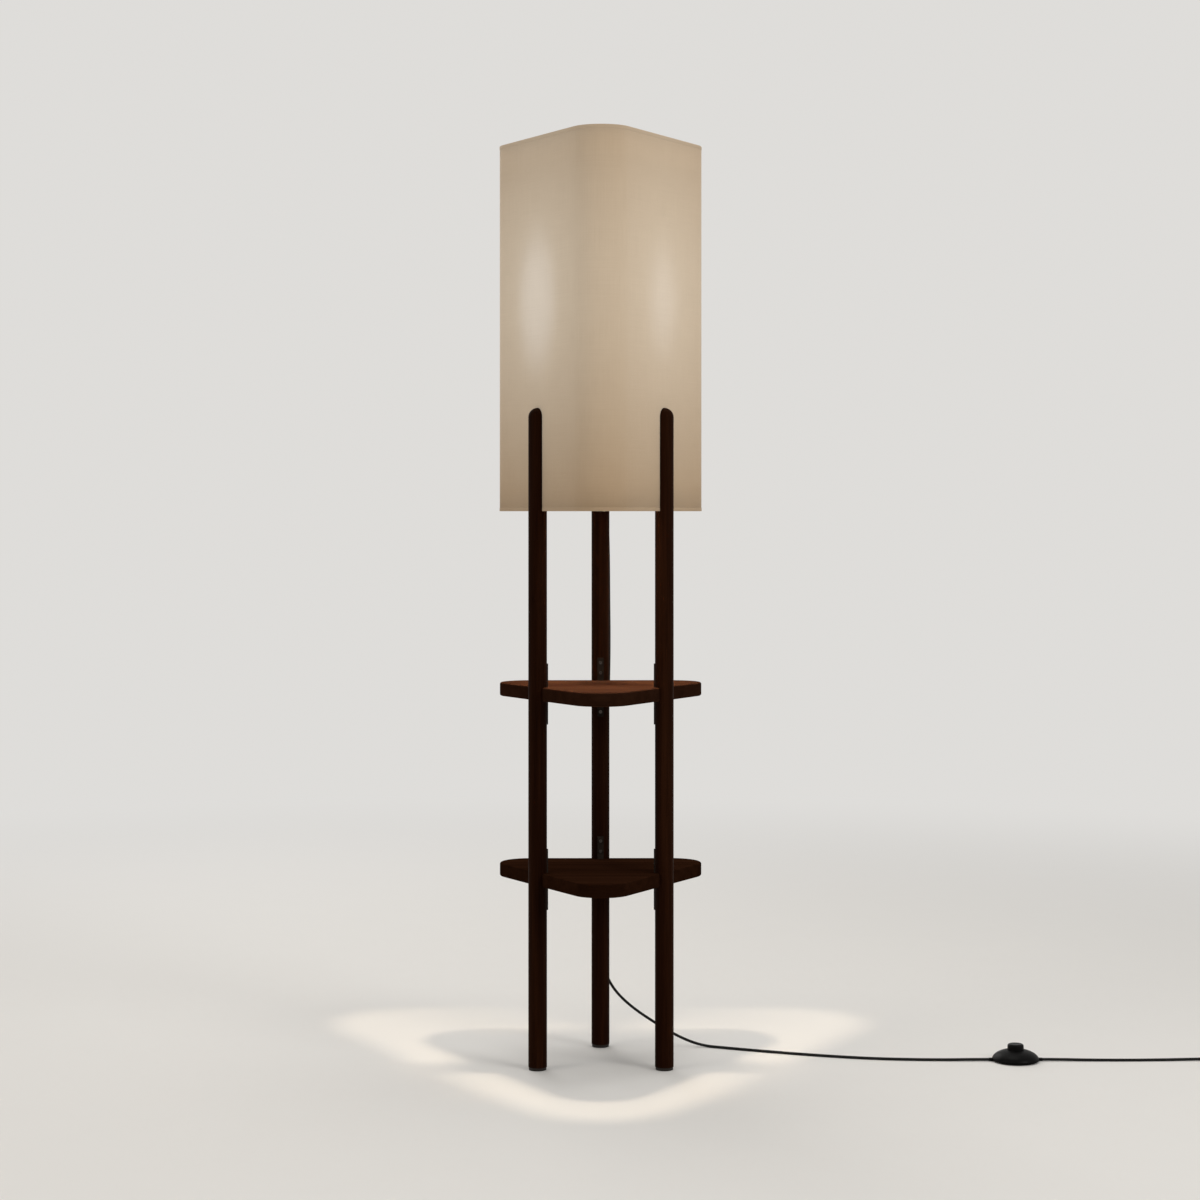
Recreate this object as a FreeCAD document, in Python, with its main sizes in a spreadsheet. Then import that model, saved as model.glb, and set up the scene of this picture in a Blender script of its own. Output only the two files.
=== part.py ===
import FreeCAD, Part
import math
import os
import re

import Sketcher

# Floor lamp with storage, in millimetres, +Z up. Three round posts stand on a circle about
# the lamp's axis, carry two rounded three-cornered shelves and end in tongues that hold a
# tall fabric shade of the same outline. One corner of that outline points along -Y. The
# origin is on the floor, under the middle of the lamp's box, and the cord runs along +X.
# Every piece is modelled about the lamp's axis, with the back post along +Y, and is then
# turned about that axis and moved back by axis_y.

Vector = FreeCAD.Vector
UP = Vector(0, 0, 1)
DOC = FreeCAD.newDocument("FloorLamp")

# Driving sizes: name, value and meaning
SIZES = (
    ("post_circle_r", 117.5, "lamp axis to each post's axis"),
    ("post_d", 30, "round post"),
    ("post_tip_z", 1063, "top of the posts' rounded tongues"),
    ("ledge_z", 897, "ledge in the posts that the shade stands on"),
    ("tongue_gap", 0.3, "shade's outer face to the tongue"),
    ("shelf_side_in", 0.5, "posts' axes to the shelves' straight sides, inwards"),
    ("shelf_corner_r", 49, "rounding of a shelf's corners"),
    ("shelf_t", 22, "shelf thickness"),
    ("shelf_edge_r", 3, "rounding of a shelf's upper and lower edges"),
    ("upper_shelf_z", 614, "upper shelf's top face"),
    ("lower_shelf_z", 316, "lower shelf's top face"),
    ("fit_gap", 0.2, "play between a piece and the seat cut for it"),
    ("overrun", 5, "how far a cut runs past what it cuts"),
    ("glide_d", 28.5, "glide under a post"),
    ("glide_height", 5, "glide height"),
    ("glide_edge_r", 1.2, "rounding of the glide's lower edge"),
    ("glide_pin_d", 4, "glide's pin"),
    ("glide_pin_len", 18, "glide's pin above its disc"),
    ("strap_len", 98, "flat strap that ties post and shelf"),
    ("strap_w", 10.4, "strap width"),
    ("strap_t", 2.4, "strap thickness"),
    ("strap_proud", 1.4, "how far a strap stands out of its post"),
    ("screw_head_d", 5.6, "wood screw head"),
    ("screw_head_t", 1.4, "wood screw head thickness"),
    ("screw_shank_d", 2.8, "wood screw shank"),
    ("screw_len", 14, "wood screw under its head"),
    ("screw_near", 13, "shelf face to the nearer screw of a strap"),
    ("screw_far", 30, "shelf face to the further screw of a strap"),
    ("recess_len", 3.4, "cross recess in a screw head"),
    ("recess_w", 0.9, "slot of the cross recess"),
    ("recess_deep", 0.8, "depth of the cross recess"),
    ("shade_h", 603, "shade height"),
    ("shade_outset", 0.4, "how far the shade stands out past the shelves' outline"),
    ("shade_wall", 1.2, "fabric on its stiff backing"),
    ("ring_wire_d", 4, "wire rings inside the shade"),
    ("ring_gap", 0.1, "ring to the shade's inner face and to the carrier"),
    ("ring_inset", 3, "shade's top edge to the top of its ring"),
    ("carrier_t", 3, "sheet of the three-armed carrier"),
    ("carrier_hub_d", 44, "carrier's middle disc"),
    ("carrier_arm_w", 12, "carrier's arms"),
    ("carrier_tab_h", 23, "upturned end of an arm, from the arm's underside"),
    ("carrier_screw_in", 11.7, "posts' axes to the screws down into their ledges, inwards"),
    ("shade_screw_rise", 15, "ledge to the screws through the shade"),
    ("shade_screw_len", 19, "screw through tab, shade and tongue"),
    ("stem_base_d", 30, "hollow base of the stem, where the cord comes out"),
    ("stem_base_height", 34, "stem base height"),
    ("stem_base_wall", 2.5, "stem base wall"),
    ("stem_base_plate", 4, "stem base floor and top"),
    ("stem_window_w", 14, "cord's window in the stem base"),
    ("base_bolt_d", 4.8, "bolt from below into the stem base"),
    ("base_bolt_head_d", 8.4, "its countersunk head"),
    ("base_bolt_head_t", 2, "its countersunk head's thickness"),
    ("stem_d", 10, "threaded stem"),
    ("stem_bore", 7, "stem's bore"),
    ("stem_tail", 4, "stem below the stem base's top plate"),
    ("nut_across", 14, "locknut across its flats"),
    ("nut_t", 4, "locknut thickness"),
    ("bulb_z", 1244, "middle of the bulb's globe"),
    ("bulb_d", 60, "bulb's globe"),
    ("bulb_neck_drop", 50, "middle of the globe to the top of the bulb's base"),
    ("bulb_neck_d", 27, "bulb's neck at its base"),
    ("bulb_neck_h", 34, "height of the bulb's cone-shaped neck"),
    ("bulb_shoulder_d", 51, "cone-shaped neck where it runs into the globe"),
    ("bulb_wall", 1, "bulb's glass"),
    ("bulb_base_d", 26.4, "bulb's screw base"),
    ("bulb_base_height", 24, "bulb's screw base"),
    ("bulb_base_wall", 1, "bulb's screw base, hollow above its bottom"),
    ("bulb_tip_d", 9, "bulb's bottom contact"),
    ("bulb_tip_t", 2, "bulb's bottom contact"),
    ("holder_d", 40, "lampholder shell"),
    ("holder_shell_h", 30, "lampholder shell height"),
    ("holder_cap_h", 22, "lampholder cap height"),
    ("holder_cap_d", 24, "lampholder cap where it meets the stem"),
    ("holder_wall", 1.6, "lampholder wall"),
    ("holder_cone_h", 14, "cone-shaped part of the lampholder cap"),
    ("holder_lip_d", 43, "lip at the lampholder's rim"),
    ("holder_lip_t", 3, "lip thickness"),
    ("insert_h", 10, "ceramic insert"),
    ("insert_rise", 2, "how far the insert stands into the shell"),
    ("liner_d", 29, "brass liner"),
    ("liner_wall", 0.7, "brass liner wall"),
    ("liner_h", 24, "brass liner height"),
    ("contact_w", 5, "middle contact's strip"),
    ("contact_len", 16, "middle contact's strip"),
    ("cord_d", 4.6, "round two-core cord"),
    ("cord_hole_x", 7, "cord's hole beside the back post's middle"),
    ("cord_hole_z", 941.5, "cord's hole at the middle of the tongue"),
    ("cord_hole_tilt", 40, "how steeply the cord's hole falls, in degrees"),
    ("cord_hole_gap", 0.8, "cord to its hole"),
    ("clip_gap", 0.5, "cord to the post it is clipped to"),
    ("clip_wall", 1.5, "cord clip wall"),
    ("clip_height", 8, "cord clip height"),
    ("clip_turn", 23, "how far round the back post the clips sit, in degrees"),
    ("clip_lug_w", 9, "clip's lug beside the cord"),
    ("clip_lug_out", 17.3, "post's axis to the lug's outer face"),
    ("clip_top_z", 486, "middle of the upper clip"),
    ("clip_mid_z", 254, "middle of the second clip"),
    ("clip_low_z", 142, "middle of the lowest clip"),
    ("nail_d", 1.4, "clip nail"),
    ("nail_len", 13, "clip nail under its head"),
    ("nail_head_d", 3.2, "clip nail head"),
    ("nail_head_t", 0.9, "clip nail head thickness"),
    ("nail_x", 6.3, "cord to the clip's nail"),
    ("switch_x", 676.5, "foot switch's middle from the lamp's axis"),
    ("switch_d", 76, "foot switch"),
    ("switch_foot_d", 74, "foot switch where it meets its pad"),
    ("pad_d", 66, "foot switch's rubber pad"),
    ("pad_h", 1, "rubber pad height"),
    ("switch_base_t", 2.4, "foot switch's base plate"),
    ("cover_rim_h", 0.9, "upright rim of the foot switch's cover"),
    ("cover_top_z", 18.9, "top of the cover round the button"),
    ("cover_flat_d", 28, "cover's flat top round the button"),
    ("dome_over", 0.2, "how far the dome's oval would run out past the rim"),
    ("cover_wall", 2, "cover wall"),
    ("button_d", 26.5, "foot button"),
    ("button_gap", 0.4, "button to the cover's hole"),
    ("button_top_z", 28.6, "top of the foot button"),
    ("button_edge_r", 2.5, "rounding of the button's upper edge"),
    ("flange_d", 32, "button's hidden flange"),
    ("flange_t", 2, "button's hidden flange"),
    ("flange_z", 14.2, "underside of the flange"),
    ("plunger_d", 6, "plunger under the button"),
    ("plunger_z", 8.8, "lower end of the plunger"),
    ("works_len", 34, "switch mechanism block, along the cord"),
    ("works_w", 24, "switch mechanism block"),
    ("works_h", 6.5, "switch mechanism block"),
    ("works_floor", 1, "floor of the spring's pocket"),
    ("spring_d", 14, "button spring"),
    ("spring_wall", 2, "button spring"),
    ("boss_y", 27, "screw bosses either side of the cord"),
    ("boss_d", 7, "screw bosses"),
    ("boss_top_z", 12.8, "where the bosses run into the cover"),
    ("case_screw_d", 2.6, "case screw"),
    ("case_screw_len", 9, "case screw under its head"),
    ("case_screw_head_d", 5, "case screw head"),
    ("case_screw_head_t", 1.2, "case screw head"),
    ("entry_z", 3, "cord's height where it enters the switch"),
    ("relief_d", 5.6, "bush where the cord enters the switch"),
    ("relief_out", 6, "bush outside the switch"),
    ("relief_in", 4, "bush inside the switch"),
    ("coil_x", 1048, "middle of the coil from the lamp's axis"),
    ("coil_y", 40, "middle of the coil from the lamp's axis"),
    ("coil_r", 37.2, "outer turn of the coil"),
    ("coil_gap", 0.6, "gap between neighbouring turns"),
    ("tie_t", 0.8, "coil tie"),
    ("tie_w", 8, "coil tie"),
    ("tie_gap", 0.3, "coil tie to the turns"),
    ("plug_x", 1086.4, "plug's middle from the lamp's axis"),
    ("plug_y", 98, "lamp's axis to the free end of the plug's cord"),
    ("plug_w", 35.3, "plug"),
    ("plug_t", 13.7, "plug"),
    ("plug_len", 26, "plug"),
    ("plug_taper", 5, "how far each side draws in towards the cord"),
    ("plug_edge_r", 2, "rounding of the plug's long edges"),
    ("plug_pin_d", 4, "plug pin"),
    ("plug_pin_len", 19, "plug pin"),
    ("plug_pin_tip_r", 1, "rounding of a pin's end"),
    ("plug_pin_apart", 18.6, "plug pins, middle to middle"),
    ("plug_pin_root", 6, "plug pin inside the plug"),
    ("plug_pin_root_d", 3, "plug pin inside the plug"),
    ("plug_relief_d", 8, "plug's tapered relief at the plug"),
    ("plug_relief_tip_d", 6, "plug's tapered relief at the cord"),
    ("plug_relief_len", 30, "plug's tapered relief"),
)

# Places and sizes that follow from the driving ones
DERIVED = (
    ("post_r", "post_d / 2"),
    ("cord_r", "cord_d / 2"),
    ("shelf_apothem", "post_circle_r - shelf_side_in"),
    ("carrier_screw_r", "post_circle_r - carrier_screw_in"),
    ("corner_reach", "2 * (shelf_apothem - shelf_corner_r)"),
    ("front_reach", "corner_reach + shelf_corner_r + shade_outset"),
    ("clip_d", "post_r + clip_gap + cord_r"),
    ("clip_r", "cord_r + fit_gap + clip_wall"),
    ("back_reach", "post_circle_r + clip_d * cos(clip_turn * 1 deg) + clip_r"),
    ("axis_y", "(front_reach - back_reach) / 2"),
    ("shade_face", "shelf_apothem + shade_outset"),
    ("shade_corner_r", "shelf_corner_r + shade_outset"),
    ("shade_inner", "shade_face - shade_wall"),
    ("shade_top_z", "ledge_z + shade_h"),
    ("tongue_face", "shade_face + tongue_gap"),
    ("strap_face", "post_circle_r - post_r - strap_proud"),
    ("strap_back", "strap_face + strap_t"),
    ("ring_r", "ring_wire_d / 2"),
    ("ring_apothem", "shade_inner - ring_gap - ring_r"),
    ("ring_corner_r", "shade_corner_r - shade_wall - ring_gap - ring_r"),
    ("carrier_top_z", "ledge_z + carrier_t"),
    ("arm_end", "shade_inner - fit_gap"),
    ("tab_face", "ring_apothem - ring_r - ring_gap"),
    ("stem_base_top_z", "carrier_top_z + stem_base_height"),
    ("stem_low_z", "stem_base_top_z - stem_base_plate - stem_tail"),
    ("neck_z", "bulb_z - bulb_neck_drop"),
    ("tip_z", "neck_z - bulb_base_height - bulb_tip_t"),
    ("shell_z", "neck_z - holder_shell_h"),
    ("cap_z", "shell_z - holder_cap_h"),
    ("insert_z", "shell_z + insert_rise - insert_h"),
    ("stem_top_z", "cap_z + holder_wall + nut_t + fit_gap"),
    ("switch_r", "switch_d / 2"),
    ("cover_z", "pad_h + switch_base_t"),
    ("dome_z", "cover_z + cover_rim_h"),
    ("dome_flat_r", "cover_flat_d / 2"),
    ("dome_reach", "switch_r + dome_over"),
    ("dome_rim_part", "sqrt(1 - (switch_r / dome_reach) ^ 2)"),
    ("dome_flat_part", "sqrt(1 - (dome_flat_r / dome_reach) ^ 2)"),
    ("dome_up", "(cover_top_z - dome_z) / (dome_flat_part - dome_rim_part)"),
    ("dome_mid_z", "cover_top_z - dome_up * dome_flat_part"),
    ("works_z", "cover_z + works_floor"),
    ("coil_pitch", "cord_d + coil_gap"),
    ("coil_z", "tie_t + tie_gap + cord_r"),
    ("plug_z", "plug_t / 2"),
)

SIZE_NAMES = {name for name, value, meaning in SIZES}
DERIVED_NAMES = {name for name, text in DERIVED}

# The posts, by the way each one faces, turned from the back post
POSTS = (("back", 0), ("front_left", 120), ("front_right", 240))


def formula(text):
    """Spells out where each named size in a formula is kept."""

    def kept(match):
        word = match.group(0)
        if word in SIZE_NAMES:
            return "Sizes." + word
        if word in DERIVED_NAMES:
            return "Derived." + word
        return word

    return re.sub(r"[a-z][a-z_0-9]*", kept, text)


def make_sheet():
    """The spreadsheet of driving sizes and the set of values worked out from it."""
    sheet = DOC.addObject("Spreadsheet::Sheet", "Sizes")
    for row, (name, value, meaning) in enumerate(SIZES, start=1):
        sheet.set(f"A{row}", meaning)
        sheet.set(f"B{row}", str(value))
        sheet.setAlias(f"B{row}", name)
    DOC.recompute()
    derived = DOC.addObject("App::VarSet", "Derived")
    for name, text in DERIVED:
        derived.addProperty("App::PropertyFloat", name)
        derived.setExpression(name, formula(text))
    DOC.recompute()
    return sheet, derived


SHEET, WORKED_OUT = make_sheet()


def size(name):
    """A driving size or a derived value as a number."""
    return float(getattr(SHEET if name in SIZE_NAMES else WORKED_OUT, name))


def bind(obj, **formulas):
    """Ties an object's properties to formulas in the named sizes."""
    for name, text in formulas.items():
        obj.setExpression(name, formula(text))
    return obj


def put(obj, x="0", y="0", z="0"):
    """Ties an object's place to formulas."""
    for axis, text in (("x", x), ("y", y), ("z", z)):
        if text != "0":
            obj.setExpression("Placement.Base." + axis, formula(text))
    return obj


ALONG = {
    "X": FreeCAD.Rotation(Vector(0, 1, 0), 90),
    "Y": FreeCAD.Rotation(Vector(1, 0, 0), -90),
    "-Y": FreeCAD.Rotation(Vector(1, 0, 0), 90),
    "Z": FreeCAD.Rotation(),
}


def box(name, length, width, height, x="0", y="0", z="0"):
    """A box from its lowest corner."""
    obj = DOC.addObject("Part::Box", name)
    bind(obj, Length=length, Width=width, Height=height)
    return put(obj, x, y, z)


def rod(name, radius, length, x="0", y="0", z="0", along="Z"):
    """A round rod from the middle of its first end."""
    obj = DOC.addObject("Part::Cylinder", name)
    obj.Placement = FreeCAD.Placement(Vector(), ALONG[along])
    bind(obj, Radius=radius, Height=length)
    return put(obj, x, y, z)


def cone(name, radius, far_radius, length, x="0", y="0", z="0", along="Z"):
    """A round taper from the middle of its first end."""
    obj = DOC.addObject("Part::Cone", name)
    obj.Placement = FreeCAD.Placement(Vector(), ALONG[along])
    bind(obj, Radius1=radius, Radius2=far_radius, Height=length)
    return put(obj, x, y, z)


def ball(name, radius, x="0", y="0", z="0"):
    """A ball about its middle."""
    obj = DOC.addObject("Part::Sphere", name)
    bind(obj, Radius=radius)
    return put(obj, x, y, z)


def oval(name, reach, up, z="0"):
    """A ball flattened along its height, about its middle."""
    obj = DOC.addObject("Part::Ellipsoid", name)
    bind(obj, Radius1=up, Radius2=reach, Radius3=reach)
    return put(obj, z=z)


def fuse(name, pieces):
    """Pieces joined into one."""
    obj = DOC.addObject("Part::MultiFuse", name)
    obj.Shapes = pieces
    obj.Refine = True
    return obj


def cut(name, base, tools):
    """A piece with others taken away."""
    obj = DOC.addObject("Part::Cut", name)
    obj.Base = base
    obj.Tool = tools[0] if len(tools) == 1 else fuse(name + "_away", tools)
    return obj


def common(name, one, other):
    """What two pieces share."""
    obj = DOC.addObject("Part::Common", name)
    obj.Base = one
    obj.Tool = other
    return obj


def rounded(name, base, radius, picked):
    """A piece with some of its edges rounded; picked says which, from an edge."""
    DOC.recompute()
    obj = DOC.addObject("Part::Fillet", name)
    obj.Base = base
    reach = size(radius)
    obj.Edges = [(i, reach, reach) for i, edge in enumerate(base.Shape.Edges, start=1) if picked(edge)]
    return obj


def at_height(edge, height):
    """Whether a whole edge lies at one height."""
    near = size("fit_gap") / 2
    box_of_edge = edge.BoundBox
    return abs(box_of_edge.ZMin - height) < near and abs(box_of_edge.ZMax - height) < near


NODES = {}


def node(label, obj, turned=0, x="0"):
    """Makes an object a sub-part: named, turned about the lamp's axis and moved to its place."""
    if obj.isDerivedFrom("Part::Primitive"):
        alone = obj
        obj = DOC.addObject("Part::Compound", label + "_piece")
        obj.Links = [alone]
    obj.Label = label
    obj.Placement = FreeCAD.Placement(Vector(), FreeCAD.Rotation(UP, turned))
    put(obj, x=x, y="axis_y")
    NODES[label] = obj
    return obj


def node_group(label, shapes):
    """Makes a sub-part of alike pieces from copies of one modelled piece."""
    obj = DOC.addObject("Part::Feature", label)
    obj.Shape = Part.makeCompound(shapes)
    return node(label, obj)


def turned_copy(shape, angle):
    """A copy of a shape turned about the lamp's axis."""
    copy = shape.copy()
    copy.rotate(Vector(), UP, angle)
    return copy


def on_plane(body, name):
    """A sketch on a body's own XY plane."""
    sketch = body.newObject("Sketcher::SketchObject", name)
    plane = [part for part in body.Origin.OriginFeatures if part.Role == "XY_Plane"][0]
    sketch.AttachmentSupport = [(plane, "")]
    sketch.MapMode = "FlatFace"
    return sketch


def three_cornered(sketch, apothem, corner_r):
    """Draws the lamp's rounded three-cornered outline, bound to formulas of its two sizes."""
    first = sketch.GeometryCount
    DOC.recompute()
    flat, radius = size_of(apothem), size_of(corner_r)
    reach = 2 * (flat - radius)
    corners = []
    for towards in (-90, 30, 150):
        way = math.radians(towards)
        corners.append(Vector(reach * math.cos(way), reach * math.sin(way)))
    for towards, corner in zip((-90, 30, 150), corners):
        circle = Part.Circle(corner, UP, radius)
        sketch.addGeometry(
            Part.ArcOfCircle(circle, math.radians(towards - 60), math.radians(towards + 60)), False
        )
    for arc in range(3):
        following = (arc + 1) % 3
        start = sketch.getPoint(first + arc, 2)
        end = sketch.getPoint(first + following, 1)
        sketch.addGeometry(Part.LineSegment(start, end), False)
    for arc in range(3):
        line, following = first + 3 + arc, first + (arc + 1) % 3
        sketch.addConstraint(Sketcher.Constraint("Tangent", first + arc, 2, line, 1))
        sketch.addConstraint(Sketcher.Constraint("Tangent", line, 2, following, 1))
    for arc in (1, 2):
        sketch.addConstraint(Sketcher.Constraint("Equal", first, first + arc))
    label = f"outline_{first}_"
    sketch.addConstraint(Sketcher.Constraint("PointOnObject", first, 3, -2))
    drive(sketch, "Radius", (first,), radius, label + "corner", corner_r)
    drive(sketch, "DistanceY", (first, 3, -1, 1), reach, label + "front", f"2 * ({apothem} - ({corner_r}))")
    for arc, side in ((1, "right"), (2, "left")):
        along = (-1, 1, first + arc, 3) if arc == 1 else (first + arc, 3, -1, 1)
        across = math.sqrt(3) * (flat - radius)
        drive(sketch, "DistanceX", along, across, label + side, f"sqrt(3) * ({apothem} - ({corner_r}))")
        drive(
            sketch, "DistanceY", (-1, 1, first + arc, 3), flat - radius,
            label + side + "_back", f"{apothem} - ({corner_r})",
        )


def drive(sketch, kind, places, value, label, text):
    """Adds one sketch dimension and ties it to a formula."""
    index = sketch.addConstraint(Sketcher.Constraint(kind, *places, value))
    sketch.renameConstraint(index, label)
    sketch.setExpression("Constraints." + label, formula(text))


def size_of(text):
    """The value of a formula made of named sizes, sums and differences."""
    total = 0
    for sign, name in re.findall(r"([+-]?)\s*([a-z_0-9]+)", text):
        total += -size(name) if sign == "-" else size(name)
    return total


def plate(name, apothem, corner_r, height, bottom, hollow=None):
    """An upright body of the lamp's outline; hollow gives the inner outline of a tube."""
    body = DOC.addObject("PartDesign::Body", name)
    sketch = on_plane(body, name + "_outline")
    three_cornered(sketch, apothem, corner_r)
    if hollow:
        three_cornered(sketch, *hollow)
    pad = body.newObject("PartDesign::Pad", name + "_pad")
    pad.Profile = sketch
    bind(pad, Length=height)
    put(body, z=bottom)
    DOC.recompute()
    return body, pad


def wood_screw(name, head_d, head_t, shank_d, length):
    """A screw that points along +Y, its head's underside on the XZ plane."""
    head = rod(name + "_head", f"{head_d} / 2", head_t, y=f"-{head_t}", along="Y")
    shank = rod(name + "_shank", f"{shank_d} / 2", length, along="Y")
    slots = []
    for way, wide, tall in (("flat", "recess_len", "recess_w"), ("upright", "recess_w", "recess_len")):
        slots.append(
            box(
                f"{name}_{way}", wide, "recess_deep", tall,
                x=f"-{wide} / 2", y=f"-{head_t}", z=f"-{tall} / 2",
            )
        )
    screw = cut(name, fuse(name + "_blank", [head, shank]), slots)
    DOC.recompute()
    return screw


def moved(shape, place, turn=None):
    """A copy of a shape turned about its own origin and moved."""
    copy = shape.copy()
    copy.Placement = FreeCAD.Placement(place, turn or FreeCAD.Rotation())
    return copy


SHELVES = (("upper", "upper_shelf_z"), ("lower", "lower_shelf_z"))
STRAP_SCREW_ROWS = (
    ("a", "screw_far"),
    ("b", "screw_near"),
    ("c", "-shelf_t - screw_near"),
    ("d", "-shelf_t - screw_far"),
)


def make_shelf(which, top):
    """A shelf with rounded edges and a slot for the strap at each post."""
    name = which + "_shelf"
    body, pad = plate(name + "_board", "shelf_apothem", "shelf_corner_r", "shelf_t", f"{top} - shelf_t")
    fillet = body.newObject("PartDesign::Fillet", name + "_edges")
    low, high = 0, size("shelf_t")
    edges = enumerate(pad.Shape.Edges, start=1)
    fillet.Base = (pad, [f"Edge{i}" for i, edge in edges if at_height(edge, low) or at_height(edge, high)])
    bind(fillet, Radius="shelf_edge_r")
    body.Tip = fillet
    slots = []
    for post, turn in POSTS:
        slot = box(
            f"{name}_slot_{post}", "strap_w + 2 * fit_gap", "strap_t + 2 * fit_gap", "shelf_t + 2 * overrun",
        )
        slot.Placement = FreeCAD.Placement(Vector(), FreeCAD.Rotation(UP, turn))
        slots.append(slot)
        way = math.radians(turn)
        along, across = f"({math.cos(way):.12f})", f"({math.sin(way):.12f})"
        half, out = "(strap_w / 2 + fit_gap)", "(strap_face - fit_gap)"
        put(
            slot,
            x=f"-{half} * {along} - {out} * {across}",
            y=f"-{half} * {across} + {out} * {along}",
            z=f"{top} - shelf_t - overrun",
        )
    node(name, cut(name, body, slots))


def make_post(which, turn):
    """A round post: notched for the shelves, flattened for the straps and cut back to a tongue."""
    name = "post_" + which
    blank = fuse(
        name + "_blank",
        [
            rod(name + "_rod", "post_r", "post_tip_z - post_r - glide_height",
                y="post_circle_r", z="glide_height"),
            ball(name + "_tip", "post_r", y="post_circle_r", z="post_tip_z - post_r"),
        ],
    )
    away = [
        box(
            name + "_ledge", "2 * post_d", "post_d", "post_tip_z",
            x="-post_d", y="tongue_face - post_d", z="ledge_z",
        ),
        rod(name + "_glide_hole", "glide_pin_d / 2 + fit_gap", "glide_pin_len + 2 * fit_gap",
            y="post_circle_r", z="glide_height"),
        rod(name + "_carrier_hole", "screw_shank_d / 2 + fit_gap", "screw_len + 2 * fit_gap",
            y="carrier_screw_r", z="carrier_top_z - screw_len - fit_gap"),
        rod(name + "_shade_hole", "screw_shank_d / 2 + fit_gap", "post_r", y="shade_inner",
            z="ledge_z + shade_screw_rise", along="Y"),
    ]
    for shelf, top in SHELVES:
        away.append(
            box(
                f"{name}_{shelf}_notch", "2 * post_d", "post_d", "shelf_t",
                x="-post_d", y="shelf_apothem - post_d", z=f"{top} - shelf_t",
            )
        )
        away.append(
            box(
                f"{name}_{shelf}_flat", "2 * post_d", "post_d", "strap_len + 2 * fit_gap",
                x="-post_d", y="strap_back - post_d", z=f"{top} - (shelf_t + strap_len) / 2 - fit_gap",
            )
        )
        for row, rise in STRAP_SCREW_ROWS:
            away.append(
                rod(
                    f"{name}_{shelf}_hole_{row}", "screw_shank_d / 2 + fit_gap", "screw_len",
                    y="strap_back - strap_t + fit_gap", z=f"{top} + {rise}", along="Y",
                )
            )
    if which == "back":
        away += [cord_hole("post_cord_hole")] + nail_holes()
    node(name, cut(name, blank, away), turn)


def cord_hole(name):
    """The slanting hole that lets the cord out of the shade and through the back post's tongue."""
    obj = DOC.addObject("Part::Cylinder", name)
    tilt = size("cord_hole_tilt")
    obj.Placement = FreeCAD.Placement(Vector(), FreeCAD.Rotation(Vector(1, 0, 0), -90 - tilt))
    bind(obj, Radius="cord_r + cord_hole_gap", Height="2 * post_d")
    middle = "(tongue_face + post_circle_r + post_r) / 2"
    return put(
        obj,
        x="cord_hole_x",
        y=f"{middle} - post_d * cos(cord_hole_tilt * 1 deg)",
        z="cord_hole_z + post_d * sin(cord_hole_tilt * 1 deg)",
    )


CLIPS = ("clip_top_z", "clip_mid_z", "clip_low_z")


def clip_frame(height):
    """Where a clip sits: the back post's axis, turned towards the cord."""
    place = Vector(0, size("post_circle_r"), size(height))
    return FreeCAD.Placement(place, FreeCAD.Rotation(UP, -size("clip_turn")))


def nail_holes():
    """Cutters for the clips' nails, about the lamp's axis."""
    holes = []
    for height in CLIPS:
        hole = rod(f"hole_{height}", "nail_d / 2 + fit_gap", "nail_len", along="-Y")
        frame = clip_frame(height)
        start = Vector(-size("nail_x"), size("clip_lug_out") - size("fit_gap"), 0)
        hole.Placement = FreeCAD.Placement(frame.multVec(start), frame.Rotation * ALONG["-Y"])
        holes.append(hole)
    return holes


def make_posts():
    """The three posts, the glides under them and the straps that tie them to the shelves."""
    for which, turn in POSTS:
        make_post(which, turn)
        name = "glide_" + which
        disc = rod(name + "_disc", "glide_d / 2", "glide_height", y="post_circle_r")
        soft = rounded(name + "_soft", disc, "glide_edge_r", lambda edge: at_height(edge, 0))
        pin = rod(name + "_pin", "glide_pin_d / 2", "glide_pin_len", y="post_circle_r", z="glide_height")
        node(name, fuse(name, [soft, pin]), turn)
    for shelf, top in SHELVES:
        middle = f"{top} - shelf_t / 2"
        for which, turn in POSTS:
            name = f"strap_{shelf}_{which}"
            bar = box(
                name + "_bar", "strap_w", "strap_t", "strap_len",
                x="-strap_w / 2", y="strap_face", z=f"{middle} - strap_len / 2",
            )
            holes = [
                rod(f"{name}_hole_{row}", "screw_shank_d / 2 + fit_gap", "strap_t + 2 * overrun",
                    y="strap_face - overrun", z=f"{top} + {rise}", along="Y")
                for row, rise in STRAP_SCREW_ROWS
            ]
            node(name, cut(name, bar, holes), turn)
    screw = wood_screw("strap_screw", "screw_head_d", "screw_head_t", "screw_shank_d", "screw_len")
    near, far, thick = size("screw_near"), size("screw_far"), size("shelf_t")
    for shelf, top in SHELVES:
        copies = []
        for rise in (far, near, -thick - near, -thick - far):
            one = moved(screw.Shape, Vector(0, size("strap_face"), size(top) + rise))
            copies += [turned_copy(one, turn) for which, turn in POSTS]
        node_group(f"strap_screws_{shelf}", copies)


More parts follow.
